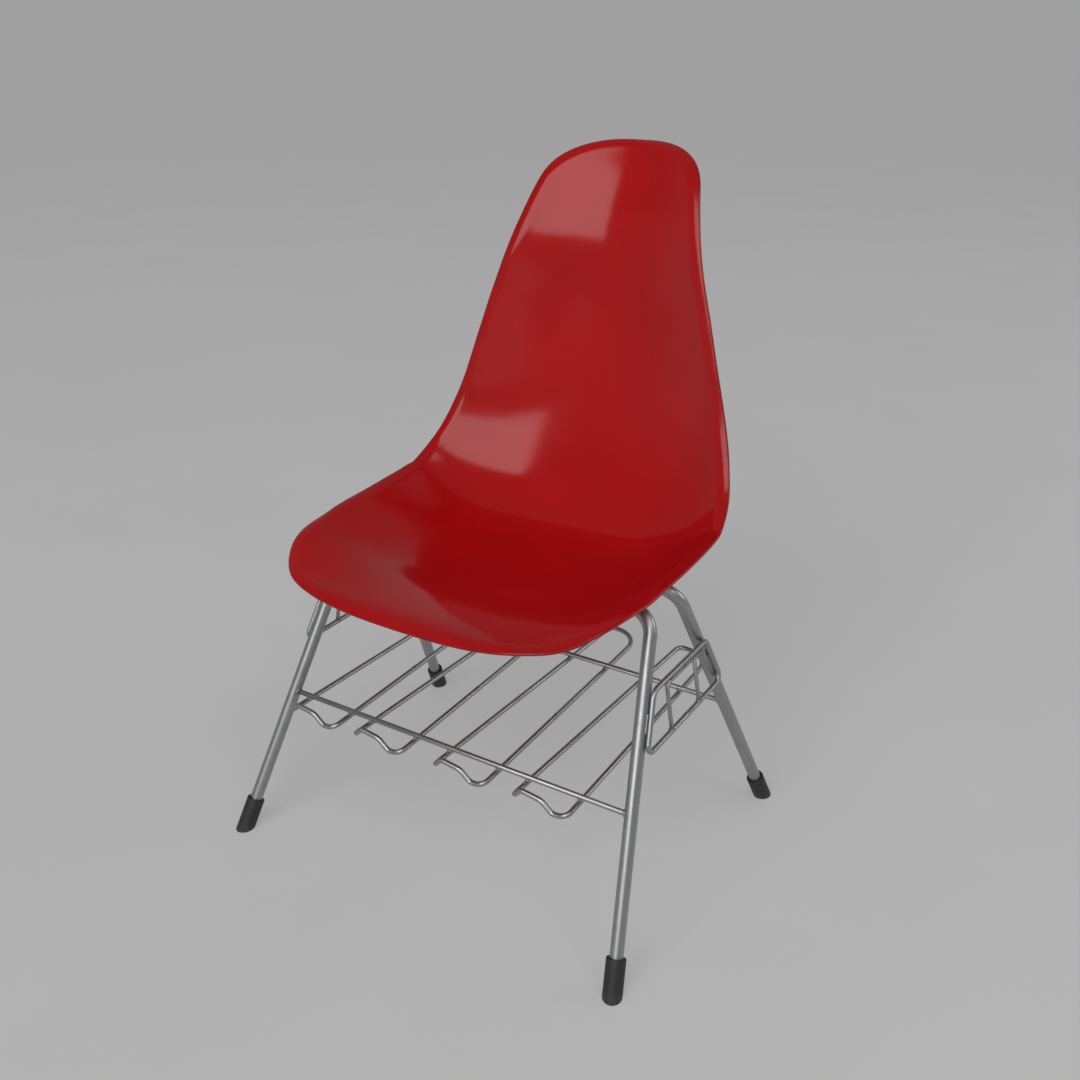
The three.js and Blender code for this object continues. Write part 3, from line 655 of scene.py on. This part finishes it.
def shell_moulding():
    """The shell as one closed mesh with a round rim."""
    tips, spine = shell_rays()
    starts = np.stack([np.zeros_like(spine), spine], -1)
    rays = tips - starts
    lengths = np.linalg.norm(rays, axis=1)
    tangents = unit(np.gradient(tips, axis=0))
    tangents[[0, -1]] = [[1, 0], [-1, 0]]
    squareness = np.abs(rays[:, 0] * tangents[:, 1] - rays[:, 1] * tangents[:, 0]) / lengths
    depth = lengths * squareness
    shares = [1 - distance / depth for distance in EDGE_DISTANCES]
    inner = [shares[0] * k / INNER_RINGS for k in range(INNER_RINGS)]
    reach = np.array(inner + shares)  # ring, ray
    flat = starts[None] + reach[..., None] * rays[None]
    edge_gap = (1 - reach) * depth[None]

    # one closed row of rays: the right half, then the mirrored left half
    x = np.concatenate([flat[..., 0], -flat[:, -2:0:-1, 0]], 1)
    along = np.concatenate([flat[..., 1], flat[:, -2:0:-1, 1]], 1)
    gap = np.concatenate([edge_gap, edge_gap[:, -2:0:-1]], 1)
    count = x.shape[1]
    normal = shell_normal(x, along)
    upper = shell_surface(x, along) - normal * lip_drop(gap, along)[..., None]

    # the normal of the lipped surface, from the mesh itself
    rows_ahead = np.gradient(upper, axis=0)
    rows_round = np.roll(upper, -1, axis=1) - np.roll(upper, 1, axis=1)
    lipped = unit(np.cross(rows_ahead[1:], rows_round[1:]))
    lipped *= np.sign((lipped * normal[1:]).sum(-1, keepdims=True))
    lipped = np.concatenate([normal[:1], lipped], 0)
    lower = upper - lipped * SHELL_THICKNESS

    edge_normal = lipped[-1]
    outward = unit(np.cross(rows_round[-1], edge_normal))
    outward *= np.sign((outward * rows_ahead[-1]).sum(-1, keepdims=True))
    middle = (upper[-1] + lower[-1]) / 2
    half = SHELL_THICKNESS / 2
    rim = []
    for angle in np.linspace(0, np.pi, RIM_STEPS + 1)[1:-1]:
        rim.append(middle + half * (math.cos(angle) * edge_normal + math.sin(angle) * outward))

    grid = np.concatenate([upper, rim, lower[::-1]], 0)
    rings = len(grid)
    under = np.concatenate([np.zeros(len(upper)), np.linspace(0, 1, len(rim)), np.ones(len(lower))])
    # closeness to the edge, which carries the painted shade on the lip
    closeness = np.exp(-gap / LIP_FADE)
    closeness = np.concatenate([closeness, np.ones((len(rim), count)), closeness[::-1]], 0)

    # spine points are shared by the two halves, on the top and on the underside
    points = []
    index = np.zeros((rings, count), int)
    twin = {ray: ray if ray <= RAYS_PER_HALF else count - ray for ray in range(count)}
    under_values = []
    lip_values = []
    for ring in range(rings):
        for ray in range(count):
            if ring in (0, rings - 1) and twin[ray] != ray:
                index[ring, ray] = index[ring, twin[ray]]
                continue
            index[ring, ray] = len(points)
            points.append(grid[ring, ray])
            under_values.append(under[ring])
            lip_values.append(closeness[ring, ray])
    faces = []
    for ring in range(rings - 1):
        for ray in range(count):
            beside = (ray + 1) % count
            near = (index[ring, ray], index[ring + 1, ray])
            far = (index[ring + 1, beside], index[ring, beside])
            faces.append(tuple(int(i) for i in dict.fromkeys(near + far)))
    piece = make_piece("seat_shell_moulding", points, faces)
    store(piece, "underside", np.array(under_values))
    store(piece, "lip", np.array(lip_values))
    finish_piece(piece, "seat_plastic", PLASTIC, "seat_shell")
    return piece


SHELL = shell_moulding()
SHELL_TREE = BVHTree.FromPolygons(
    [vertex.co.copy() for vertex in SHELL.data.vertices],
    [tuple(polygon.vertices) for polygon in SHELL.data.polygons],
)


BELOW_THE_SHELL = 300  # a height


def underside_height(x, y):
    """Height in millimetres of the shell's underside above a point."""
    start = Vector(to_frame((x, y, BELOW_THE_SHELL)).tolist())
    hit = SHELL_TREE.ray_cast(start, Vector((0, 0, 1)))[0]
    return hit.z * MM_PER_METRE


# -------------------- leg frames
def leg_axis(side, end, height):
    return np.array([side * (FOOT_X - LEAN_X * height), end * (FOOT_Y - LEAN_Y * height), height])


def leg_direction(side, end):
    return unit(leg_axis(side, end, 1) - leg_axis(side, end, 0))


TUBE_SIDES = 40
TUBE_BEND_STEP = 3.0  # degrees


def leg_frame(end_name, end):
    half = {}
    for side in (-1, 1):
        saddle = leg_axis(side, end, SADDLE_HEIGHT)
        saddle[0] = side * SADDLE_HALF
        half[side] = [
            (leg_axis(side, end, 0) + leg_direction(side, end) * LEG_START, 0),
            (leg_axis(side, end, SHOULDER_HEIGHT), SHOULDER_BEND),
            (saddle, SADDLE_BEND),
        ]
    stations, directions = bent_path(half[-1] + half[1][::-1], TUBE_BEND_STEP)
    outer, outer_faces, flat = swept(stations, directions, TUBE_RADIUS, TUBE_SIDES)
    inner, _, inner_flat = swept(stations, directions, TUBE_RADIUS - TUBE_WALL, TUBE_SIDES)
    faces = outer_faces[:-2]
    start = len(outer)
    faces += [tuple(start + i for i in reversed(face)) for face in outer_faces[:-2]]
    last = len(outer) - TUBE_SIDES
    for side in range(TUBE_SIDES):
        beside = (side + 1) % TUBE_SIDES
        faces.append((side, start + side, start + beside, beside))
        faces.append((last + side, last + beside, start + last + beside, start + last + side))
    piece = make_piece(f"{end_name}_leg_tube", np.vstack([outer, inner]), faces, 60)
    store(piece, "straightened", np.vstack([flat, inner_flat]))
    finish_piece(piece, "frame_steel", STEEL, f"{end_name}_leg_frame")


# -------------------- boots
BOOT_SIDES = 80
NEARLY_ZERO = 1e-6  # metres


def foot_boot(end_name, end, side_name, side):
    """A turned boot on the slanting leg, cut level with the floor and rounded there."""
    socket = TUBE_RADIUS + BOOT_SOCKET_PLAY
    shoulder = BOOT_SHOULDER
    profile = [(0, -BOOT_BELOW_FLOOR), (BOOT_RADIUS, -BOOT_BELOW_FLOOR)]
    profile += [(BOOT_RADIUS, height) for height in BOOT_WALL_HEIGHTS]
    profile += rounded_corner(BOOT_RADIUS - shoulder, BOOT_LENGTH - shoulder, shoulder, 0, 90)
    profile += rounded_corner(socket + BOOT_MOUTH, BOOT_LENGTH - BOOT_MOUTH, BOOT_MOUTH, 90, 180, 4)
    profile += [(socket, BOOT_SOLE), (0, BOOT_SOLE)]
    points, faces = turned(profile, BOOT_SIDES)
    along_leg = Vector(leg_direction(side, end).tolist())
    tilt = Vector((0, 0, 1)).rotation_difference(along_leg).to_matrix()
    points = points @ np.array(tilt).T + leg_axis(side, end, 0)
    name = f"foot_boot_{end_name}_{side_name}"
    piece = make_piece(f"{name}_rubber", points, faces)
    sole = bmesh.new()
    sole.from_mesh(piece.data)
    everything = sole.verts[:] + sole.edges[:] + sole.faces[:]
    bmesh.ops.bisect_plane(sole, geom=everything, plane_co=(0, 0, 0), plane_no=(0, 0, 1), clear_inner=True)
    rim = [edge for edge in sole.edges if edge.is_boundary]
    bmesh.ops.holes_fill(sole, edges=rim, sides=0)
    sole_edges = [edge for edge in sole.edges if all(abs(v.co.z) < NEARLY_ZERO for v in edge.verts)]
    rounding = BOOT_SOLE_EDGE / MM_PER_METRE
    bmesh.ops.bevel(sole, geom=sole_edges, offset=rounding, segments=4, profile=0.5, affect="EDGES")
    bmesh.ops.recalc_face_normals(sole, faces=sole.faces[:])
    sole.to_mesh(piece.data)
    sole.free()
    piece.data.shade_smooth()
    piece.data.set_sharp_from_angle(angle=math.radians(38))
    finish_piece(piece, "boot_rubber", BOOT_RUBBER, name)


for end_name, end in ENDS.items():
    leg_frame(end_name, end)
    for side_name, side in SIDES.items():
        foot_boot(end_name, end, side_name, side)

# -------------------- book rack
FRONT_BAR_Y = leg_axis(1, -1, RACK_FRONT_HEIGHT)[1]
REAR_BAR_Y = leg_axis(1, 1, RACK_REAR_HEIGHT)[1]
WIRE_DROP = 2 * WIRE_RADIUS + GAP
BAR_HEIGHTS = {"front": RACK_FRONT_HEIGHT, "rear": RACK_REAR_HEIGHT}


def rack_bar(end_name, end):
    axis = leg_axis(1, end, BAR_HEIGHTS[end_name])
    reach = axis[0] - TUBE_RADIUS + BAR_SINK
    corners = [(axis * [0, 1, 1] + [-reach, 0, 0], 0), (axis * [0, 1, 1] + [reach, 0, 0], 0)]
    piece = rod(f"rack_{end_name}_bar_wire", corners, WIRE_RADIUS)
    finish_piece(piece, "frame_steel", STEEL, f"rack_{end_name}_bar")


def rack_share(y):
    return (y - FRONT_BAR_Y) / (REAR_BAR_Y - FRONT_BAR_Y)


def on_rack(x, y, lift=0.0):
    """A point of the rack's sloping plane."""
    height = RACK_FRONT_HEIGHT + (RACK_REAR_HEIGHT - RACK_FRONT_HEIGHT) * rack_share(y)
    return np.array([x, y, height - WIRE_DROP + lift])


def loop_edge(index, side, y):
    front = LOOP_FRONT_CENTRES[index] + side * LOOP_FRONT_WIDTH / 2
    rear = LOOP_REAR_CENTRES[index] + side * LOOP_REAR_WIDTH / 2
    return front + (rear - front) * rack_share(y)


def rack_loop(index):
    """One closed loop: rounded at the rear, waved at the front to stop books sliding out."""
    nose_left = loop_edge(index, -1, RACK_NOSE_Y)
    nose = [(on_rack(nose_left + across, RACK_NOSE_Y, lift), bend) for across, lift, bend in LOOP_NOSE]
    middle = (on_rack(loop_edge(index, 1, 0), 0), 0)
    corners = [
        middle,
        (on_rack(loop_edge(index, 1, RACK_TAIL_Y), RACK_TAIL_Y), LOOP_TAIL_BEND),
        (on_rack(loop_edge(index, -1, RACK_TAIL_Y), RACK_TAIL_Y), LOOP_REAR_LEFT_BEND),
        *nose,
        (on_rack(loop_edge(index, 1, RACK_NOSE_Y), RACK_NOSE_Y), LOOP_NOSE_RIGHT_BEND),
        middle,
    ]
    piece = rod(f"rack_loop_{index + 1}_wire", corners, WIRE_RADIUS, closed=True)
    finish_piece(piece, "frame_steel", STEEL, f"rack_loop_{index + 1}")


for end_name, end in ENDS.items():
    rack_bar(end_name, end)
for index in range(len(LOOP_FRONT_CENTRES)):
    rack_loop(index)

# -------------------- ganging loops
GANG_OFFSET = (TUBE_RADIUS + WIRE_RADIUS + GAP) * math.hypot(1, LEAN_X)
POST_FOOT = GANG_BOTTOM + WIRE_RADIUS - POST_SINK
STAY_HEIGHT = GANG_TOP - WIRE_RADIUS - GANG_POST_RADIUS - GAP


def on_gang_plane(side, y, z):
    """A point of the plane that holds a side's wires, just outboard of both legs."""
    return np.array([side * (FOOT_X - LEAN_X * z + GANG_OFFSET), y, z])


def on_leg_line(side, end, z):
    return on_gang_plane(side, end * (FOOT_Y - LEAN_Y * z), z)


def ganging_wires(side_name, side):
    middle = (on_gang_plane(side, 0, GANG_BOTTOM), 0)
    loop = [
        middle,
        (on_leg_line(side, 1, GANG_BOTTOM), GANG_REAR_BOTTOM_BEND),
        (on_leg_line(side, 1, GANG_TOP), GANG_BEND),
        (on_leg_line(side, -1, GANG_TOP), GANG_FRONT_TOP_BEND),
        (on_leg_line(side, -1, GANG_BOTTOM), GANG_BEND),
        middle,
    ]
    stay = [
        (on_gang_plane(side, GANG_POST_FRONT_Y, POST_FOOT), 0),
        (on_gang_plane(side, GANG_POST_FRONT_Y, STAY_HEIGHT), GANG_STAY_BEND),
        (on_gang_plane(side, GANG_STAY_END_Y, STAY_HEIGHT), 0),
    ]
    post_top = STAY_HEIGHT - GANG_POST_RADIUS + POST_SINK
    post = [
        (on_gang_plane(side, GANG_POST_REAR_Y, POST_FOOT), 0),
        (on_gang_plane(side, GANG_POST_REAR_Y, post_top), 0),
    ]
    thin = GANG_POST_RADIUS
    wires = {"loop": (loop, WIRE_RADIUS), "stay": (stay, thin), "post": (post, thin)}
    for kind, (corners, radius) in wires.items():
        node = f"ganging_{kind}_{side_name}"
        piece = rod(f"{node}_wire", corners, radius, closed=kind == "loop")
        finish_piece(piece, "frame_steel", STEEL, node)


for side_name, side in SIDES.items():
    ganging_wires(side_name, side)

# -------------------- welds
BEAD_PITCH = 1.7
BEAD_RIPPLE = 0.16  # as a share of a bead's radius
BEAD_SCATTER = 0.05
BEAD_SIDES = 12
BEAD_STEP = 0.45
RING_STEPS = 44
SPOT_STEPS = 26
SPOT_RADIUS = 2.1  # of the weld where two wires cross
LEG_BEAD_MARGIN = 22  # from a ganging loop's corners to the ends of its welds
LEG_BEAD_REACH = 3.1  # from the middle of the wire sideways
STAY_BEAD_HALF = 4
STAY_BEAD_REACH = 2.4
STRAP_BEAD_LENGTH = 24
draw = np.random.default_rng(7)


def bead(path, radius, closed=False):
    """A rippled weld run along a dense path."""
    path = np.asarray(path, float)
    if closed:
        directions = unit(np.roll(path, -1, axis=0) - np.roll(path, 1, axis=0))
    else:
        directions = unit(np.gradient(path, axis=0))
    lengths = np.r_[0, np.cumsum(np.linalg.norm(np.diff(path, axis=0), axis=1))]
    ripple = BEAD_RIPPLE * np.abs(np.sin(np.pi * lengths / BEAD_PITCH + draw.uniform(0, 3)))
    radii = radius * (0.9 + ripple + BEAD_SCATTER * draw.standard_normal(len(path)))
    if not closed:
        radii *= np.clip(np.minimum(lengths, lengths[-1] - lengths) / radius + 0.25, 0, 1) ** 0.5
    points, faces, _ = swept(path, directions, radii, BEAD_SIDES, closed)
    return points, faces


def straight_path(start, end):
    steps = max(6, int(np.linalg.norm(np.subtract(end, start)) / BEAD_STEP))
    return np.linspace(start, end, steps)


def saddle_ring(point, direction, ring_radius, core_point, core_direction, core_radius, bead_radius):
    """A weld round a wire that stands on a round core, following the core's surface."""
    direction = unit(direction)
    core_direction = unit(core_direction)
    across = unit(np.cross(direction, core_direction))
    other = np.cross(direction, across)
    path = []
    for angle in np.linspace(0, 2 * np.pi, RING_STEPS, endpoint=False):
        place = point + ring_radius * (math.cos(angle) * across + math.sin(angle) * other)
        offset = place - core_point
        offset = offset - core_direction * (offset @ core_direction)
        run = direction - core_direction * (direction @ core_direction)
        a, b, c = run @ run, 2 * offset @ run, offset @ offset - core_radius**2
        step = (-b + math.sqrt(max(b * b - 4 * a * c, 0))) / (2 * a)
        path.append(place + direction * step)
    return bead(path, bead_radius, closed=True)


def rack_welds():
    runs = []
    for end_name, end in ENDS.items():
        for side in SIDES.values():
            axis = leg_axis(side, end, BAR_HEIGHTS[end_name])
            leg = leg_direction(side, end)
            ring = saddle_ring(axis, (-side, 0, 0), WIRE_RADIUS + 0.4, axis, leg, TUBE_RADIUS, 1.3)
            runs.append(ring)
        bar_y = {"front": FRONT_BAR_Y, "rear": REAR_BAR_Y}[end_name]
        for index in range(len(LOOP_FRONT_CENTRES)):
            for side in SIDES.values():
                centre = on_rack(loop_edge(index, side, bar_y), bar_y, WIRE_DROP / 2)
                spot = [
                    centre + SPOT_RADIUS * np.array([math.cos(a), math.sin(a), 0])
                    for a in np.linspace(0, 2 * np.pi, SPOT_STEPS, endpoint=False)
                ]
                runs.append(bead(spot, 1.0, closed=True))
    return merged(runs)


def ganging_welds(side):
    runs = []
    for end in ENDS.values():
        direction = leg_direction(side, end)
        low = on_leg_line(side, end, GANG_BOTTOM + LEG_BEAD_MARGIN)
        high = on_leg_line(side, end, GANG_TOP - LEG_BEAD_MARGIN)
        outward = unit(np.array([side, 0, 0]) - direction * (direction[0] * side))
        sideways = np.cross(direction, outward)
        for hand in (-1, 1):
            shift = -outward * (WIRE_RADIUS + 0.1) + hand * sideways * LEG_BEAD_REACH
            runs.append(bead(straight_path(low + shift, high + shift), 1.35))
    upright = unit(on_gang_plane(side, 0, 1) - on_gang_plane(side, 0, 0))
    for y in (GANG_POST_FRONT_Y, GANG_POST_REAR_Y):
        foot = on_gang_plane(side, y, GANG_BOTTOM)
        runs.append(saddle_ring(foot, upright, GANG_POST_RADIUS + 0.3, foot, (0, 1, 0), WIRE_RADIUS, 0.95))
    head = on_gang_plane(side, GANG_POST_REAR_Y, STAY_HEIGHT)
    snug = GANG_POST_RADIUS + 0.1
    runs.append(saddle_ring(head, -upright, snug, head, (0, 1, 0), snug, 0.8))
    groove = np.cross(upright, (0, 1, 0))
    for y in (GANG_POST_FRONT_Y + 12, 12, GANG_STAY_END_Y - 6):
        for hand in (-1, 1):
            centre = on_gang_plane(side, y, STAY_HEIGHT + GANG_POST_RADIUS)
            centre = centre + hand * groove * STAY_BEAD_REACH
            reach = np.array([0, STAY_BEAD_HALF, 0])
            runs.append(bead(straight_path(centre - reach, centre + reach), 0.95))
    return merged(runs)


def strap_welds():
    runs = []
    for end in ENDS.values():
        tube_y = end * (FOOT_Y - LEAN_Y * SADDLE_HEIGHT)
        for side in SIDES.values():
            for hand in (-1, 1):
                start_x = side * STRAP_X - STRAP_BEAD_LENGTH / 2
                start = np.array([start_x, tube_y + hand * 4.5, STRAP_LOW - 1.1])
                runs.append(bead(straight_path(start, start + [STRAP_BEAD_LENGTH, 0, 0]), 1.3))
    return merged(runs)


WELD_GROUPS = {
    "rack_welds": rack_welds(),
    "ganging_welds_left": ganging_welds(-1),
    "ganging_welds_right": ganging_welds(1),
    "strap_welds": strap_welds(),
}
for name, (points, faces) in WELD_GROUPS.items():
    finish_piece(make_piece(name, points, faces), "frame_steel", WELD)


# -------------------- seat mounts
ROUND_SIDES = 72
MOUNT_BOND = 0.05  # how far the rubber reaches into the shell
MOUNT_PROFILE = [  # (share of the height, radius)
    (0.0, 10.3), (0.0, 14.3), (0.05, 14.9), (0.14, 15.2), (0.35, 15.7),
    (0.55, 16.8), (0.74, 18.2), (0.88, 19.2), (0.96, 19.6), (1.0, 19.7),
]


def shock_mount(x, y, name):
    """Rubber mount whose top follows the shell's underside."""
    sides = ROUND_SIDES
    points = [(x, y, MOUNT_LOW)]
    for share, radius in MOUNT_PROFILE:
        for angle in np.linspace(0, 2 * np.pi, sides, endpoint=False):
            px = x + radius * math.cos(angle)
            py = y + radius * math.sin(angle)
            top = underside_height(px, py) + MOUNT_BOND
            points.append((px, py, MOUNT_LOW + share * (top - MOUNT_LOW)))
    points.append((x, y, underside_height(x, y) + MOUNT_BOND))
    last = 1 + (len(MOUNT_PROFILE) - 1) * sides
    faces = []
    for side in range(sides):
        beside = (side + 1) % sides
        faces.append((0, 1 + beside, 1 + side))
        faces.append((last + side, last + beside, len(points) - 1))
        for row in range(len(MOUNT_PROFILE) - 1):
            low = 1 + row * sides
            faces.append((low + side, low + beside, low + sides + beside, low + sides + side))
    piece = make_piece(f"{name}_rubber", points, faces, 60)
    finish_piece(piece, "mount_rubber", MOUNT_RUBBER, name)


def washer(x, y, name):
    high = STRAP_LOW - GAP / 3
    low = high - WASHER_THICKNESS
    bore = BOLT_RADIUS + WASHER_PLAY
    profile = [(bore, high), (bore, low)]
    profile += rounded_corner(WASHER_RADIUS - WASHER_EDGE, low + WASHER_EDGE, WASHER_EDGE, -90, 0, 4)
    profile += [(WASHER_RADIUS, high), (bore, high)]
    points, faces = turned(profile, 48)
    piece = make_piece(f"{name}_plate", points + [x, y, 0], faces, 50)
    tidy_normals(piece)
    finish_piece(piece, "fastener_steel", ZINC, name)


def tidy_normals(piece):
    """Joins doubled rings and turns every face outwards."""
    mesh = bmesh.new()
    mesh.from_mesh(piece.data)
    bmesh.ops.remove_doubles(mesh, verts=mesh.verts[:], dist=NEARLY_ZERO)
    bmesh.ops.recalc_face_normals(mesh, faces=mesh.faces[:])
    mesh.to_mesh(piece.data)
    mesh.free()


def mount_bolt(x, y, name):
    """Hexagon head with a turned chamfer, on a plain shank."""
    high = STRAP_LOW - GAP - WASHER_THICKNESS
    low = high - BOLT_HEAD_HEIGHT
    flat_reach = BOLT_HEAD_RADIUS * math.cos(math.pi / 6)
    face_radius = BOLT_FACE_SHARE * flat_reach
    sides = ROUND_SIDES
    rings = []
    for height, circle in ((low, True), (low, False), (high, False)):
        ring = []
        for angle in np.linspace(0, 2 * np.pi, sides, endpoint=False):
            hexagon = flat_reach / math.cos((angle % (math.pi / 3)) - math.pi / 6)
            radius = face_radius if circle else hexagon
            lift = 0 if circle or height == high else (hexagon - face_radius) * math.tan(math.pi / 6)
            ring.append((x + radius * math.cos(angle), y + radius * math.sin(angle), height + lift))
        rings.append(ring)
    head_points = [point for ring in rings for point in ring]
    head_faces = [tuple(range(sides))[::-1], tuple(range(2 * sides, 3 * sides))]
    for start in (0, sides):
        after = start + sides
        for side in range(sides):
            beside = (side + 1) % sides
            head_faces.append((start + side, start + beside, after + beside, after + side))
    shank_top = MOUNT_LOW + INSERT_HEIGHT - BOLT_END_PLAY
    shank = turned([(0, high - 1), (BOLT_RADIUS, high - 1), (BOLT_RADIUS, shank_top), (0, shank_top)], 32)
    points, faces = merged([(head_points, head_faces), (shank[0] + [x, y, 0], shank[1])])
    piece = make_piece(f"{name}_hex", points, faces, 28)
    finish_piece(piece, "fastener_steel", ZINC, name)


for side_name, side in SIDES.items():
    for end_name, end in ENDS.items():
        spot = (side * STRAP_X, end * MOUNT_Y)
        place_name = f"{end_name}_{side_name}"
        shock_mount(*spot, f"shock_mount_{place_name}")
        washer(*spot, f"mount_washer_{place_name}")
        mount_bolt(*spot, f"mount_bolt_{place_name}")


# -------------------- CAD nodes that keep their shape
def soften_edges(node, width):
    """Adds small round edges to a carried-over node; width in metres."""
    bevel = node.modifiers.new("edges", "BEVEL")
    bevel.width = width
    bevel.segments = 3
    bevel.limit_method = "ANGLE"
    bevel.angle_limit = math.radians(40)


def keep_node(name, material, width):
    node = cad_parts[name]
    for material_slot in node.material_slots:
        material_slot.material = material
    soften_edges(node, width)


def strap_steel():
    """Pressed strip of the same plated steel, with rolling marks along its length."""
    finish = Finish("strap_zinc_steel", Metallic=1.0)
    place = finish.place()
    marks = finish.noise(finish.stretched(place, (700, 12, 700)), 1.0, 4.0, 0.6)
    clouds = finish.noise(place, 45.0, 4.0)
    finish.feed("Base Color", finish.blend(finish.between(marks, 0.3, 0.7), STRAP_DARK, STRAP_LIGHT))
    finish.feed("Roughness", finish.between(clouds, 0.35, 0.7, 0.33, 0.47))
    finish.feed("Normal", finish.bump(marks, 0.0002, 0.2))
    return finish.material


STRAP = strap_steel()
STRAP_EDGE = 0.0006
SMALL_EDGE = 0.0003
for side_name in SIDES:
    keep_node(f"mount_strap_{side_name}", STRAP, STRAP_EDGE)
    for end_name in ENDS:
        keep_node(f"mount_insert_{end_name}_{side_name}", ZINC, SMALL_EDGE)
        keep_node(f"foot_disc_{end_name}_{side_name}", ZINC, SMALL_EDGE)


# -------------------- floor and light
WALL_BRIGHTNESS = 0.351  # of the studio at the height of the floor
CEILING_BRIGHTNESS = 0.20
CEILING_START = 0.6  # sine of the elevation where the walls have darkened into the ceiling
FLOOR_GLOW = 0.26
FLOOR_REACH = 60.0


def pale_floor():
    """A pale floor that glows enough to meet the studio's walls almost without an edge."""
    reach = FLOOR_REACH
    mesh = bpy.data.meshes.new("floor")
    corners = [(-reach, -reach, 0), (reach, -reach, 0), (reach, reach, 0), (-reach, reach, 0)]
    mesh.from_pydata(corners, [], [(0, 1, 2, 3)])
    floor = bpy.data.objects.new("floor", mesh)
    bpy.context.scene.collection.objects.link(floor)
    finish = Finish("pale_floor", Roughness=0.55)
    finish.shader.inputs["Specular IOR Level"].default_value = 0.25
    place = finish.place()
    clouds = finish.noise(place, 2.2, 5.0)
    finish.feed("Base Color", finish.blend(finish.between(clouds, 0.3, 0.7), FLOOR_DARK, FLOOR_LIGHT))
    finish.shader.inputs["Emission Color"].default_value = (1.0, 1.0, 1.0, 1)
    finish.shader.inputs["Emission Strength"].default_value = FLOOR_GLOW
    finish.feed("Normal", finish.bump(finish.noise(place, 260.0, 3.0), 0.0005, 0.05))
    floor.data.materials.append(finish.material)


LIGHT_TARGET = np.array([0.0, 0.05, 0.55])  # the middle of the shell, in metres


def soft_box(name, azimuth, elevation, distance, width, height, radiance):
    """A soft rectangle seen from the chair at an azimuth (0 = front, + towards +X) and elevation."""
    a, e = math.radians(azimuth), math.radians(elevation)
    towards = np.array([math.sin(a) * math.cos(e), -math.cos(a) * math.cos(e), math.sin(e)])
    light = bpy.data.lights.new(name, "AREA")
    light.shape = "RECTANGLE"
    light.size = width
    light.size_y = height
    light.energy = radiance * math.pi * width * height
    lamp = bpy.data.objects.new(name, light)
    lamp.location = (LIGHT_TARGET + towards * distance).tolist()
    lamp.rotation_euler = Vector(towards.tolist()).to_track_quat("Z", "Y").to_euler()
    lamp.visible_camera = False
    bpy.context.scene.collection.objects.link(lamp)


pale_floor()
soft_box("key_soft_box", azimuth=5, elevation=33, distance=7.0, width=5.4, height=5.9, radiance=3.2)
soft_box("right_soft_box", azimuth=66, elevation=48, distance=5.0, width=2.0, height=2.4, radiance=2.6)
soft_box("rear_soft_box", azimuth=128, elevation=22, distance=5.0, width=2.6, height=1.8, radiance=2.4)


def studio_walls():
    """Plain pale surroundings that darken evenly from the floor up to the ceiling."""
    world = bpy.data.worlds.new("studio")
    world.use_nodes = True
    nodes = world.node_tree.nodes
    links = world.node_tree.links
    direction = nodes.new("ShaderNodeTexCoord")
    split = nodes.new("ShaderNodeSeparateXYZ")
    links.new(direction.outputs["Generated"], split.inputs[0])
    fade = nodes.new("ShaderNodeMapRange")
    fade.interpolation_type = "SMOOTHSTEP"
    fade.inputs["From Max"].default_value = CEILING_START
    fade.inputs["To Min"].default_value = WALL_BRIGHTNESS
    fade.inputs["To Max"].default_value = CEILING_BRIGHTNESS
    links.new(split.outputs["Z"], fade.inputs["Value"])
    background = nodes["Background"]
    background.inputs["Color"].default_value = (1.0, 1.0, 1.0, 1)
    links.new(fade.outputs["Result"], background.inputs["Strength"])
    bpy.context.scene.world = world


studio_walls()
bpy.context.scene.view_settings.view_transform = "Standard"
